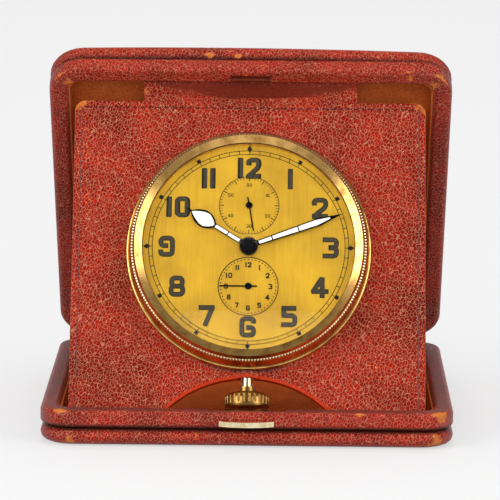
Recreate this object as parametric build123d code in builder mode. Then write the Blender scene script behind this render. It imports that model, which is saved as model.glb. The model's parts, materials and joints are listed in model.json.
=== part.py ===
"""Folding leather travel alarm clock.

A leather case of two shallow trays opens like a book and stands as an easel. The base tray lies flat,
the back tray leans forward over it on a leather spine, and a panel hung by a strap from the back tray's
top edge carries a gilt alarm clock and stands with its foot inside the base tray.

Millimetres, +Z up, +X to the viewer's right, -Y towards the viewer. The origin is the middle of the
base tray's underside.
"""

import os
from collections import namedtuple
from math import atan, atan2, cos, degrees, hypot, pi, radians, sin, sqrt

from build123d import *

os.makedirs("parts", exist_ok=True)

# Trays of the leather case
case_width = 94.0
tray_depth = 93.5  # hinge line to the outside of the opening edge
tray_height = 8.4  # outside of the cover to the rim
tray_wall = 4.4
tray_corner = 8.0
cover_depth = 4.3  # the padded cover, up to the groove round the tray
cover_floor = 1.5
cover_round = 3.4
groove_round = 1.0
rim_outer_round = 1.2
rim_inner_round = 1.0
lining_thickness = 0.4
lining_drop = 1.0  # the lining stops this far below the rim
fit_gap = 0.02  # glued and pressed pieces
running_gap = 0.05  # pivots, arbors and slides, each side

# Leather spine between the trays
spine_gap = 0.5  # each tray stops this far from the hinge line
spine_leather = 0.4
spine_inset = 12.0  # each side
spine_reach = 4.8

# Push catch in the middle of the opening edge
catch_plate_length = 18.0
catch_plate_width = 2.0
catch_plate_thickness = 0.4
catch_pocket_length = 15.0
catch_pocket_width = 1.6
catch_pocket_depth = 3.4
thumb_width = 12.4
thumb_reach = 3.0
thumb_thickness = 1.2
thumb_height = 5.9  # middle of the thumb-piece above the table
thumb_stem_width = 5.0
thumb_head_width = 8.0
thumb_head_thickness = 0.35
thumb_stroke = 0.9
thumb_spare = 0.3  # gap left to the wall when pushed right in
catch_spring_thickness = 0.2
striker_width = 9.0
striker_thickness = 0.9
striker_proud = 1.2
striker_depth = 2.4

# Hanging panel
panel_side_gap = 1.45  # panel to the lining, each side
panel_lean = 23.6  # degrees back from upright
panel_corner = 2.5
board_thickness = 1.5
leather_thickness = 0.6
leather_round = 0.3
panel_lining_thickness = 0.5
panel_lining_inset = 0.8
strap_width = 49.5
strap_thickness = 0.8
strap_length = 4.8  # fold line to the panel's top edge
strap_inset = 1.3  # fold line below the back tray's rim
strap_tail = 3.6  # glued down the inside of the tray's end wall
foot_gap = 1.8  # panel's foot to the lining of the front wall
floor_gap = 0.4  # panel's foot to the lining of the floor
clock_drop_share = 0.4633  # clock centre below the panel's top, of the panel's height
band_share = 0.3355  # case band's radius, of the panel's height

# Worked-out sizes of the case
lean = radians(panel_lean)
panel_thickness = leather_thickness + board_thickness + panel_lining_thickness
floor_top = cover_floor + lining_thickness
tray_length = tray_depth - spine_gap
tray_middle = spine_gap + tray_length / 2
spine_width = case_width - 2 * spine_inset
panel_width = case_width - 2 * (tray_wall + lining_thickness + panel_side_gap)
lining_corner = tray_corner - tray_wall
wall_inside = tray_depth - tray_wall - lining_thickness  # lined face of the opening edge's wall

# The panel's foot, the strap's fold line and the angle at which the back tray comes to rest
spine_y = tray_depth / 2
foot_y = spine_y - wall_inside + foot_gap
foot_z = floor_top + floor_gap + panel_thickness * sin(lean)
fold_y = wall_inside - strap_thickness / 2  # along the back tray
fold_reach = hypot(fold_y, strap_inset)
from_spine_y = foot_y + strap_thickness / 2 * cos(lean) - spine_y
from_spine_z = foot_z - strap_thickness / 2 * sin(lean) - tray_height
along = from_spine_y * sin(lean) + from_spine_z * cos(lean)
square = from_spine_y**2 + from_spine_z**2
foot_to_fold = -along + sqrt(along**2 - square + fold_reach**2)
panel_height = foot_to_fold - strap_length
fold_point_y = from_spine_y + foot_to_fold * sin(lean)
fold_point_z = from_spine_z + foot_to_fold * cos(lean)
tray_lean = atan2(-fold_point_y, fold_point_z) + atan(strap_inset / fold_y)
clock_below_top = clock_drop_share * panel_height
clock_above_foot = panel_height - clock_below_top

# Clock case. The clock grows with its panel: sizes across it are drawn for a band of radius 26.
band_radius = band_share * panel_height
calibre = band_radius / 26
flange_width = 2.3
arch_gap = 1.7  # flange to the top of the panel's arch
arch_radius = 26.5 * calibre
flange_height = 1.5
flange_round = 0.6
band_wall = 1.4
ledge_width = 1.0
ledge_depth = 1.0
coin_edge_proud = 0.95  # of the band
coin_edge_low = 3.8
coin_edge_high = 4.9
coin_edge_bulge = 0.15
bezel_crest = 6.05
bezel_crest_proud = 0.2  # of the band
bezel_lip_width = 0.3  # lip that carries the crystal, inside the band's bore
crystal_seat = 4.8
crystal_edge = 0.5
crystal_grip = 0.6  # crystal's rim under the bezel
crystal_rise = 1.7
case_back_outside = 5.3  # behind the panel's front
case_back_thickness = 0.6
case_back_lip = 0.4
clamp_ring_width = 2.6
clamp_ring_thickness = 1.0
clamp_screw_count = 4
clamp_screw_turn = 45.0  # degrees from 3 o'clock to the first screw
clamp_screw_radius = 0.35
screw_head_radius = 0.8
screw_head_thickness = 0.3
hole_gap = 0.2  # panel's hole round the case band

# Crown and stem, distances down from the clock centre
crown_level = -0.3  # stem axis in front of the panel's front
pendant_radius = 1.2
pendant_proud = 3.8 * calibre  # of the flange
crown_collar_radius = 1.9
crown_gap = 0.1
crown_collar_length = 1.4 * calibre
crown_shoulder_radius = 3.0
crown_dome_length = 1.8 * calibre
crown_radius = 5.1 * calibre
crown_grip_length = 2.5 * calibre
crown_end_round = 1.5
crown_flutes = 26
crown_flute_radius = 0.34
stem_radius = 0.75
stem_start = 13.4 * calibre
stem_in_crown = 3.8 * calibre
stem_groove_start = 21.0 * calibre
stem_groove_width = 0.6
stem_groove_radius = 0.5
winding_pinion_start = 14.2 * calibre
winding_pinion_length = 1.4
sliding_pinion_start = 15.9 * calibre
sliding_pinion_length = 2.4
stem_pinion_radius = 1.9
stem_pinion_teeth = 12
stem_pinion_tooth = 0.4

# Dial and hands, levels in front of the panel's front
dial_top = 3.6
dial_thickness = 0.4
subdial_radius = 7.0 * calibre
subdial_recess = 0.1
seconds_offset = 9.9 * calibre  # above the clock centre
alarm_offset = 9.25 * calibre  # below the clock centre
hand_thickness = 0.2
sub_hand_level = 3.75
sub_hand_thickness = 0.15
hour_hand_level = 4.1
minute_hand_level = 4.55
cap_radius = 2.0
cap_top = 6.1
hour_hand_length = 17.8 * calibre
hour_hand_angle = 302.0  # degrees clockwise from 12
hour_blade_start = 9.2 * calibre
hour_blade_wide = 11.8 * calibre
hour_blade_half = 2.0
hour_blade_end = 15.6 * calibre
minute_hand_length = 22.8 * calibre
minute_hand_angle = 69.9
minute_wide = 17.2 * calibre
minute_half = 0.95
hand_root_half = 0.55
hand_hub_radius = 2.1
seconds_hand_length = 6.2 * calibre
seconds_hand_angle = 170.0
alarm_hand_length = 6.6 * calibre
alarm_hand_angle = 270.0
sub_hand_half = 0.16
sub_hand_tail = 2.0
sub_hub_radius = 0.8

# Movement, levels in front of the panel's front
plate_low = 0.9
plate_high = 1.8
bridge_low = -3.9
bridge_high = -3.1
ratchet_low = -4.5
ratchet_high = -3.95
upper_wheels = 0.1  # centre wheel, escape wheel and pallets
middle_wheels = -1.2  # third wheel
lower_wheels = -2.7  # fourth wheel, balance and the barrel's teeth
wheel_thickness = 0.5
wheel_rim = 0.7  # rim inside the tooth roots
spoke_width = 0.7
pinion_spare = 0.2  # pinions overlap their wheels by this at each end
centre_arbor_radius = 0.6
cannon_radius = 1.0
hour_tube_radius = 1.5
pivot_radius = 0.2
arbor_radius = 0.35
seconds_arbor_radius = 0.3
barrel_arbor_radius = 0.9
barrel_drum_radius = 7.4 * calibre
barrel_top = -0.45
alarm_barrel_radius = 7.4 * calibre
pillar_radius = 1.2
bridge_edge = 2.0  # bridges reach this far past their arbors and pillars
barrel_bridge_edge = 1.8
cannon_level = 1.95
hour_wheel_level = 2.6
motion_thickness = 0.45
alarm_wheel_radius = 4.0 * calibre
alarm_arbor_radius = 0.4
balance_radius = 5.6 * calibre
balance_rim = 0.7
roller_radius = 0.8
escape_radius = 2.5 * calibre
escape_root = 1.8 * calibre
escape_teeth = 15
escape_tooth = ((escape_root, 0.0), (escape_radius, 0.55), (escape_radius, 0.7), (escape_root, 0.75))
pallet_arm_half = 1.9 * calibre
pallet_arm_width = 0.5
hairspring_radius = 3.2 * calibre
hairspring_strip = 0.14
hairspring_half_turns = 8
gong_inset = 1.5  # inside the band
gong_wire = 0.6
gong_height = 0.4
gong_sweep = 290.0
hammer_head_radius = 0.7

# Teeth are plain wedges with room to spare on both sides of their mesh
tooth_above = 0.75  # of the module, outside the pitch circle
tooth_below = 1.1
tooth_tip = 0.10  # half-widths, of the tooth pitch
tooth_root = 0.24
leaf_tip = 0.09
leaf_root = 0.17
most_leaves = 10  # gears with no more teeth than this are pinions

# Tooth counts: each wheel, then the pinion that it drives
barrel_teeth = 48
centre_pinion_teeth = 6
centre_teeth = 48
third_pinion_teeth = 6
third_teeth = 45
fourth_pinion_teeth = 6
fourth_teeth = 48
escape_pinion_teeth = 6
cannon_teeth = 8
minute_wheel_teeth = 24
minute_pinion_teeth = 6
hour_wheel_teeth = 24
ratchet_teeth = 24
crown_wheel_teeth = 18


def on_plate(x, y):
    """A place in the movement, x and y on the dial with 12 up."""
    return (calibre * x, calibre * y)


centre_arbor = on_plate(0.0, 0.0)
third_arbor = on_plate(-4.2, 5.6)
fourth_arbor = (0.0, seconds_offset)
escape_arbor = on_plate(4.6, 12.5)
pallet_arbor = on_plate(8.0, 11.4)
balance_arbor = on_plate(11.6, 10.4)
barrel_arbor = on_plate(8.16, -3.8)
alarm_barrel_arbor = on_plate(-9.9, -8.0)
minute_wheel_stud = on_plate(-6.0, 0.0)
alarm_arbor = (0.0, -alarm_offset)
crown_wheel_stud = on_plate(2.6, -10.7)
hammer_pivot = on_plate(-11.5, 9.0)
hammer_head = on_plate(-18.7, 10.7)
setting_lever_pivot = on_plate(4.5, -19.5)
train_pillars = (on_plate(-12.5, 3.0), on_plate(-9.5, 16.5), on_plate(3.0, 19.5))
cock_pillar = on_plate(20.2, 6.6)
barrel_pillars = (
    on_plate(19.2, -6.5),
    on_plate(-18.5, -4.5),
    on_plate(8.5, -17.5),
    on_plate(-6.0, -19.0),
)

# Frames: the trays share one local frame, with y from the hinge line to the opening edge
base = Plane((0, spine_y, tray_height), x_dir=(-1, 0, 0), z_dir=(0, 0, 1))
back = Plane((0, spine_y, tray_height), x_dir=(1, 0, 0), z_dir=(0, -cos(tray_lean), -sin(tray_lean)))
clock = Plane(
    (0, foot_y + clock_above_foot * sin(lean), foot_z + clock_above_foot * cos(lean)),
    x_dir=(1, 0, 0),
    z_dir=(0, -cos(lean), sin(lean)),
)
turning = Plane(clock.origin, x_dir=clock.x_dir, z_dir=clock.x_dir.cross(clock.z_dir))
clock_axis = Axis(clock.origin, clock.z_dir)
stem = clock.offset(crown_level)
stem_axis = Axis(stem.origin, stem.y_dir)

# Worked-out sizes of the clock
flange_radius = band_radius + flange_width
neck_radius = band_radius + coin_edge_proud
bezel_crest_radius = band_radius + bezel_crest_proud
arch_drop = flange_radius + arch_gap  # clock centre to the top of the arch
pendant_end = flange_radius + pendant_proud
crown_collar_start = pendant_end + crown_gap
crown_shoulder = crown_collar_start + crown_collar_length
crown_dome_end = crown_shoulder + crown_dome_length
crown_end = crown_dome_end + crown_grip_length
stem_end = crown_collar_start + stem_in_crown
stem_groove_end = stem_groove_start + stem_groove_width
band_bore = band_radius - band_wall
gong_radius = band_bore - gong_inset
plate_radius = band_bore - 2 * running_gap
ledge_radius = band_bore - ledge_width
dial_radius = band_bore - hole_gap
dial_low = dial_top - dial_thickness
case_back_inside = case_back_thickness - case_back_outside
bezel_opening = band_bore - bezel_lip_width
crystal_radius = bezel_opening + crystal_grip
panel_hole = band_radius + hole_gap


def keep(piece, name):
    """Name a finished piece and write its STEP file."""
    piece.part.label = name
    export_step(piece.part, f"parts/{name}.step")


def tray_sketch(plane, inset, corner):
    """The tray's outline, drawn in by an inset."""
    with BuildSketch(plane) as outline:
        with Locations((0, tray_middle)):
            RectangleRounded(case_width - 2 * inset, tray_length - 2 * inset, corner)
    return outline.sketch


def tray_cover(tray):
    """Padded leather dish that closes one side of the case."""
    across = Axis(tray.origin, tray.z_dir)
    with BuildPart() as cover:
        extrude(tray_sketch(tray.offset(-tray_height), 0, tray_corner), amount=cover_depth)
        fillet(cover.edges().group_by(across)[0], cover_round)
        fillet(cover.edges().group_by(across)[-1], groove_round)
        pocket = tray_sketch(tray.offset(cover_floor - tray_height), tray_wall, lining_corner)
        extrude(pocket, amount=cover_depth, mode=Mode.SUBTRACT)
    return cover


def catch_middle():
    """Middle of the flat on top of the opening edge's wall, along the tray."""
    return tray_depth - (tray_wall + rim_outer_round - rim_inner_round) / 2


def slot_sketch(plane, length, width):
    """A slot across the middle of the opening edge's wall."""
    with BuildSketch(plane) as slot:
        with Locations((0, catch_middle())):
            Rectangle(length, width)
    return slot.sketch


def tray_rim(tray, with_catch):
    """Leather-covered frame above the groove, cut for its half of the catch."""
    across = Axis(tray.origin, tray.z_dir)
    rim_depth = tray_height - cover_depth
    with BuildPart() as rim:
        extrude(tray_sketch(tray.offset(-rim_depth), 0, tray_corner), amount=rim_depth)
        fillet(rim.edges().group_by(across)[-1], rim_outer_round)
        fillet(rim.edges().group_by(across)[0], groove_round)
        well = tray_sketch(tray.offset(-rim_depth), tray_wall, lining_corner)
        extrude(well, amount=rim_depth, mode=Mode.SUBTRACT)
        fillet(rim.faces().sort_by(across)[-1].inner_wires()[0].edges(), rim_inner_round)
        if with_catch:
            recess = slot_sketch(tray, catch_plate_length + 2 * fit_gap, catch_plate_width + 2 * fit_gap)
            extrude(recess, amount=-catch_plate_thickness, mode=Mode.SUBTRACT)
            pocket = slot_sketch(tray, catch_pocket_length, catch_pocket_width)
            extrude(pocket, amount=-catch_pocket_depth, mode=Mode.SUBTRACT)
            with BuildSketch(tray.offset(thumb_height - tray_height - thumb_thickness / 2 - running_gap)):
                with Locations((0, catch_middle())):
                    Rectangle(
                        thumb_stem_width + 2 * running_gap, tray_wall, align=(Align.CENTER, Align.MIN)
                    )
            extrude(amount=thumb_thickness + 2 * running_gap, mode=Mode.SUBTRACT)
        else:
            mortise = slot_sketch(tray, striker_width + 2 * fit_gap, striker_thickness + 2 * fit_gap)
            extrude(mortise, amount=-striker_depth, mode=Mode.SUBTRACT)
    return rim


def tray_lining(tray):
    """Thin leather box inside a tray: floor and four walls."""
    floor = cover_floor - tray_height
    with BuildPart() as lining:
        outside = tray_sketch(tray.offset(floor), tray_wall + fit_gap, lining_corner)
        extrude(outside, amount=-floor - lining_drop)
        inside = tray_sketch(
            tray.offset(floor + lining_thickness),
            tray_wall + lining_thickness,
            lining_corner - lining_thickness,
        )
        extrude(inside, amount=tray_height, mode=Mode.SUBTRACT)
    return lining


def spine_leaf(tray):
    """Leather of the spine, glued down the hinge end of one tray."""
    with BuildPart() as leaf:
        with BuildSketch(tray.offset(-running_gap)):
            with Locations((0, spine_gap - fit_gap)):
                Rectangle(spine_width, spine_leather, align=(Align.CENTER, Align.MAX))
        extrude(amount=-spine_reach)
    return leaf


keep(tray_cover(base), "base_cover")
keep(tray_rim(base, with_catch=True), "base_rim")
keep(tray_lining(base), "base_lining")
keep(spine_leaf(base), "spine_leaf_base")
keep(tray_cover(back), "back_cover")
keep(tray_rim(back, with_catch=False), "back_rim")
keep(tray_lining(back), "back_lining")
keep(spine_leaf(back), "spine_leaf_back")

# Catch: a pierced plate over a pocket in the base's front wall, with a sprung crescent thumb-piece
with BuildPart() as clasp_plate:
    extrude(slot_sketch(base, catch_plate_length, catch_plate_width), amount=-catch_plate_thickness)
    slot = slot_sketch(base, striker_width + 4 * hole_gap, striker_thickness + 2 * hole_gap)
    extrude(slot, amount=-catch_plate_thickness, mode=Mode.SUBTRACT)
keep(clasp_plate, "clasp_plate")

pocket_outer = catch_middle() + catch_pocket_width / 2
pocket_inner = catch_middle() - catch_pocket_width / 2
crescent_back = tray_depth + thumb_stroke + thumb_spare
crescent_front = tray_depth + thumb_reach
crescent_tip = crescent_back + thumb_head_thickness
thumb_plane = base.offset(thumb_height - tray_height - thumb_thickness / 2)
with BuildPart() as clasp_thumb_piece:
    with BuildSketch(thumb_plane):
        with BuildLine():
            ThreePointArc(
                (-thumb_width / 2, crescent_tip),
                (0, crescent_front),
                (thumb_width / 2, crescent_tip),
            )
            Line((thumb_width / 2, crescent_tip), (thumb_width / 2, crescent_back))
            Line((thumb_width / 2, crescent_back), (-thumb_width / 2, crescent_back))
            Line((-thumb_width / 2, crescent_back), (-thumb_width / 2, crescent_tip))
        make_face()
        with Locations((0, pocket_outer - running_gap)):
            stem_run = crescent_back - pocket_outer + 2 * running_gap
            Rectangle(thumb_stem_width, stem_run, align=(Align.CENTER, Align.MIN))
            Rectangle(thumb_head_width, thumb_head_thickness, align=(Align.CENTER, Align.MAX))
    extrude(amount=thumb_thickness)
keep(clasp_thumb_piece, "clasp_thumb_piece")

with BuildPart() as clasp_spring:
    with BuildSketch(base.offset(-catch_pocket_depth)):
        with Locations((0, pocket_inner)):
            Rectangle(
                catch_pocket_length - 2 * hole_gap,
                catch_spring_thickness,
                align=(Align.CENTER, Align.MIN),
            )
    extrude(amount=catch_pocket_depth - catch_plate_thickness - hole_gap)
keep(clasp_spring, "clasp_spring")

with BuildPart() as clasp_striker:
    extrude(
        slot_sketch(back.offset(-striker_depth), striker_width, striker_thickness),
        amount=striker_depth + striker_proud,
    )
    nose = clasp_striker.edges().group_by(Axis(back.origin, back.z_dir))[-1]
    chamfer(nose.filter_by(Axis.X), striker_thickness / 3)
keep(clasp_striker, "clasp_striker")

# Strap: one tail glued inside the back tray's end wall, the flap running on into the panel's front leather
with BuildPart() as strap_anchor:
    with BuildSketch(back.offset(-strap_inset - strap_tail)):
        with Locations((0, fold_y)):
            Rectangle(strap_width, strap_thickness)
    extrude(amount=strap_tail)
    roll = Plane(back.from_local_coords((-strap_width / 2, fold_y, -strap_inset)), z_dir=(1, 0, 0))
    with BuildSketch(roll):
        Circle(strap_thickness / 2)
    extrude(amount=strap_width)
keep(strap_anchor, "strap_anchor")

with BuildPart() as strap_flap:
    with BuildSketch(clock.offset(-strap_thickness)):
        with Locations((0, clock_below_top)):
            Rectangle(
                strap_width,
                strap_length - strap_thickness / 2 - running_gap,
                align=(Align.CENTER, Align.MIN),
            )
    extrude(amount=strap_thickness)
keep(strap_flap, "strap_flap")


def panel_sketch(plane, inset):
    """The panel's outline with its arch, clock hole and pendant slot, drawn in by an inset."""
    with BuildSketch(plane) as outline:
        with Locations((0, (clock_below_top - clock_above_foot) / 2)):
            RectangleRounded(panel_width - 2 * inset, panel_height - 2 * inset, panel_corner)
        with Locations((0, -arch_drop - arch_radius)):
            Circle(arch_radius + inset, mode=Mode.SUBTRACT)
        Circle(panel_hole, mode=Mode.SUBTRACT)
        slot_width = 2 * (pendant_radius + hole_gap)
        Rectangle(slot_width, arch_drop + arch_radius, align=(Align.CENTER, Align.MAX), mode=Mode.SUBTRACT)
    return outline.sketch


board_back = -leather_thickness - board_thickness
with BuildPart() as panel_board:
    extrude(panel_sketch(clock.offset(board_back), leather_thickness + fit_gap), amount=board_thickness)
keep(panel_board, "panel_board")

with BuildPart() as panel_leather:
    extrude(panel_sketch(clock.offset(board_back), 0), amount=leather_thickness + board_thickness)
    front = panel_leather.faces().sort_by(clock_axis)[-1].outer_wire().edges()
    sides = front.filter_by(GeomType.LINE).filter_by(lambda edge: edge.length > panel_corner)
    fillet(sides.filter_by(lambda edge: (edge.center() - clock.origin).length > arch_drop), leather_round)
    room = panel_sketch(clock.offset(board_back), leather_thickness)
    extrude(room, amount=board_thickness, mode=Mode.SUBTRACT)
keep(panel_leather, "panel_leather")

with BuildPart() as panel_lining:
    extrude(panel_sketch(clock.offset(-panel_thickness), panel_lining_inset), amount=panel_lining_thickness)
keep(panel_lining, "panel_lining")


def disc(centre, radius, level, bore=0.0):
    """A round face at one level of the clock, bored through if asked."""
    with BuildSketch(clock.offset(level)) as face:
        with Locations(centre):
            Circle(radius)
            if bore:
                Circle(bore, mode=Mode.SUBTRACT)
    return face.sketch


def dome_middle(radius, edge, rise):
    """Point half-way out on a shallow dome, for its arc."""
    ball = (radius**2 + rise**2) / (2 * rise)
    return (radius / 2, edge + rise - ball + sqrt(ball**2 - radius**2 / 4))


# Clock case
with BuildPart() as case_band:
    extrude(disc((0, 0), band_radius, case_back_inside, band_bore), amount=dial_top - case_back_inside)
    extrude(disc((0, 0), band_bore + fit_gap, plate_low - ledge_depth, ledge_radius), amount=ledge_depth)
    with BuildSketch(Plane(stem.origin, x_dir=stem.x_dir, z_dir=-stem.y_dir)):
        Circle(pendant_radius + fit_gap)
    extrude(amount=band_radius + hole_gap, mode=Mode.SUBTRACT)
keep(case_band, "case_band")

with BuildPart() as bezel:
    with BuildSketch(turning):
        with BuildLine():
            inner = band_radius + fit_gap
            lip = dial_top + running_gap
            groove_top = crystal_seat + crystal_edge + 2 * fit_gap
            bead_middle = (coin_edge_low + coin_edge_high) / 2
            bead_top_radius = neck_radius - coin_edge_bulge * 2
            hollow = (neck_radius + flange_radius - flange_round) / 2 - coin_edge_bulge
            Line((inner, 0), (flange_radius, 0))
            Line((flange_radius, 0), (flange_radius, flange_height - flange_round))
            RadiusArc(
                (flange_radius, flange_height - flange_round),
                (flange_radius - flange_round, flange_height),
                -flange_round,
            )
            ThreePointArc(
                (flange_radius - flange_round, flange_height),
                (hollow, (flange_height + coin_edge_low) / 2),
                (neck_radius - coin_edge_bulge, coin_edge_low),
            )
            ThreePointArc(
                (neck_radius - coin_edge_bulge, coin_edge_low),
                (neck_radius, bead_middle),
                (bead_top_radius, coin_edge_high),
            )
            Line((bead_top_radius, coin_edge_high), (bezel_crest_radius, bezel_crest))
            Line((bezel_crest_radius, bezel_crest), (bezel_opening + hole_gap, groove_top))
            Line((bezel_opening + hole_gap, groove_top), (crystal_radius + fit_gap, groove_top))
            Line((crystal_radius + fit_gap, groove_top), (crystal_radius + fit_gap, crystal_seat))
            Line((crystal_radius + fit_gap, crystal_seat), (bezel_opening, crystal_seat))
            Line((bezel_opening, crystal_seat), (bezel_opening, lip))
            Line((bezel_opening, lip), (inner, lip))
            Line((inner, lip), (inner, 0))
        make_face()
    revolve(axis=clock_axis)
    with BuildSketch(Plane(stem.origin, x_dir=stem.x_dir, z_dir=-stem.y_dir)):
        Circle(pendant_radius + fit_gap)
    extrude(amount=flange_radius + hole_gap, mode=Mode.SUBTRACT)
keep(bezel, "bezel")

with BuildPart() as crystal:
    with BuildSketch(turning):
        with BuildLine():
            inside = crystal_seat + crystal_rise
            outside = inside + crystal_edge
            edge_top = crystal_seat + crystal_edge
            Line((0, outside), (0, inside))
            ThreePointArc(
                (0, inside),
                dome_middle(bezel_opening, crystal_seat, crystal_rise),
                (bezel_opening, crystal_seat),
            )
            Line((bezel_opening, crystal_seat), (crystal_radius, crystal_seat))
            Line((crystal_radius, crystal_seat), (crystal_radius, edge_top))
            Line((crystal_radius, edge_top), (bezel_opening, edge_top))
            ThreePointArc(
                (bezel_opening, edge_top),
                dome_middle(bezel_opening, edge_top, crystal_rise),
                (0, outside),
            )
        make_face()
    revolve(axis=clock_axis)
keep(crystal, "crystal")

with BuildPart() as case_back:
    extrude(disc((0, 0), band_radius, -case_back_outside), amount=case_back_thickness - fit_gap)
    fillet(case_back.edges().group_by(clock_axis)[0], case_back_thickness / 2)
    lip_face = disc((0, 0), band_bore - fit_gap, case_back_inside - fit_gap, ledge_radius)
    extrude(lip_face, amount=case_back_lip)
keep(case_back, "case_back")

ring_back = -panel_thickness - clamp_ring_thickness
clamp_radius = panel_hole + clamp_ring_width / 2
with BuildPart() as panel_clamp_ring:
    ring_face = disc((0, 0), panel_hole + clamp_ring_width, ring_back, band_radius + fit_gap)
    extrude(ring_face, amount=clamp_ring_thickness)
    with BuildSketch(clock.offset(ring_back)):
        with PolarLocations(clamp_radius, clamp_screw_count, clamp_screw_turn):
            Circle(clamp_screw_radius + fit_gap)
    extrude(amount=clamp_ring_thickness, mode=Mode.SUBTRACT)
    with BuildSketch(clock.offset(ring_back)):
        slot_width = 2 * (pendant_radius + hole_gap)
        Rectangle(slot_width, clamp_radius * 2, align=(Align.CENTER, Align.MAX))
    extrude(amount=clamp_ring_thickness, mode=Mode.SUBTRACT)
keep(panel_clamp_ring, "panel_clamp_ring")

with BuildPart() as clamp_screws:
    with BuildSketch(clock.offset(ring_back - screw_head_thickness)):
        with PolarLocations(clamp_radius, clamp_screw_count, clamp_screw_turn):
            Circle(screw_head_radius)
    extrude(amount=screw_head_thickness)
    with BuildSketch(clock.offset(ring_back)):
        with PolarLocations(clamp_radius, clamp_screw_count, clamp_screw_turn):
            Circle(clamp_screw_radius)
    extrude(amount=clamp_ring_thickness)
keep(clamp_screws, "clamp_screws")

# Pendant, crown and stem, turned about the stem's axis
with BuildPart() as pendant_tube:
    with BuildSketch(stem):
        with Locations((stem_radius + running_gap, -pendant_end)):
            Rectangle(
                pendant_radius - stem_radius - running_gap,
                pendant_end - ledge_radius,
                align=(Align.MIN, Align.MIN),
            )
    revolve(axis=stem_axis)
keep(pendant_tube, "pendant_tube")

with BuildPart() as crown:
    with BuildSketch(stem):
        with BuildLine():
            bore = stem_radius + fit_gap
            end_flat = crown_radius - crown_end_round
            Line((bore, -crown_collar_start), (crown_collar_radius, -crown_collar_start))
            Line((crown_collar_radius, -crown_collar_start), (crown_collar_radius, -crown_shoulder))
            Line((crown_collar_radius, -crown_shoulder), (crown_shoulder_radius, -crown_shoulder))
            TangentArc(
                (crown_radius, -crown_dome_end),
                (crown_shoulder_radius, -crown_shoulder),
                tangent=(0, 1),
                tangent_from_first=True,
            )
            Line((crown_radius, -crown_dome_end), (crown_radius, crown_end_round - crown_end))
            RadiusArc((crown_radius, crown_end_round - crown_end), (end_flat, -crown_end), crown_end_round)
            Line((end_flat, -crown_end), (0, -crown_end))
            Line((0, -crown_end), (0, -stem_end - fit_gap))
            Line((0, -stem_end - fit_gap), (bore, -stem_end - fit_gap))
            Line((bore, -stem_end - fit_gap), (bore, -crown_collar_start))
        make_face()
    revolve(axis=stem_axis)
    with BuildSketch(Plane(stem.origin, x_dir=stem.x_dir, z_dir=-stem.y_dir).offset(crown_shoulder)):
        with PolarLocations(crown_radius, crown_flutes):
            Circle(crown_flute_radius)
    extrude(amount=crown_end - crown_shoulder - crown_end_round, mode=Mode.SUBTRACT)
keep(crown, "crown")

with BuildPart() as winding_stem:
    with BuildSketch(stem):
        with Locations((0, -stem_end)):
            Rectangle(stem_radius, stem_end - stem_start, align=(Align.MIN, Align.MIN))
        with Locations((stem_groove_radius, -stem_groove_end)):
            Rectangle(
                stem_radius,
                stem_groove_end - stem_groove_start,
                align=(Align.MIN, Align.MIN),
                mode=Mode.SUBTRACT,
            )
    revolve(axis=stem_axis)
keep(winding_stem, "winding_stem")


def stem_pinion(start, length):
    """A toothed sleeve on the winding stem."""
    face = Plane(stem.origin, x_dir=stem.x_dir, z_dir=-stem.y_dir).offset(start)
    with BuildPart() as sleeve:
        with BuildSketch(face):
            Circle(stem_pinion_radius)
            with PolarLocations(stem_pinion_radius, stem_pinion_teeth):
                Rectangle(stem_pinion_tooth, stem_pinion_tooth, mode=Mode.SUBTRACT)
            Circle(stem_radius + fit_gap, mode=Mode.SUBTRACT)
        extrude(amount=length)
    return sleeve


keep(stem_pinion(winding_pinion_start, winding_pinion_length), "winding_pinion")
keep(stem_pinion(sliding_pinion_start, sliding_pinion_length), "sliding_pinion")

lever_top = -stem_radius - wheel_thickness
with BuildPart() as setting_lever:
    with BuildSketch(clock.offset(lever_top - wheel_thickness)):
        with Locations((0, -(stem_groove_start + stem_groove_end) / 2)):
            Circle(stem_radius)
        with Locations(setting_lever_pivot):
            Circle(pillar_radius)
        make_hull()
    extrude(amount=wheel_thickness)
    pin_radius = (stem_groove_end - stem_groove_start) / 2 - running_gap
    pin = disc((0, -(stem_groove_start + stem_groove_end) / 2), pin_radius, lever_top)
    extrude(pin, amount=crown_level - stem_groove_radius - running_gap - lever_top)
keep(setting_lever, "setting_lever")

# Dial with sunk seconds and alarm rings
with BuildPart() as dial:
    extrude(disc((0, 0), dial_radius, dial_low, hour_tube_radius + hole_gap), amount=dial_thickness)
    for place, arbor in ((fourth_arbor, seconds_arbor_radius), (alarm_arbor, alarm_arbor_radius)):
        recess = disc(place, subdial_radius, dial_top - subdial_recess)
        extrude(recess, amount=subdial_recess, mode=Mode.SUBTRACT)
        extrude(disc(place, arbor + hole_gap, dial_low), amount=dial_thickness, mode=Mode.SUBTRACT)
keep(dial, "dial")


def hand_plane(centre, angle, level):
    """Plane at one level of the clock, with y along a hand that points clockwise from 12."""
    turn = radians(angle)
    across = clock.x_dir * cos(turn) - clock.y_dir * sin(turn)
    return Plane(clock.from_local_coords((*centre, level)), x_dir=across, z_dir=clock.z_dir)


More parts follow.
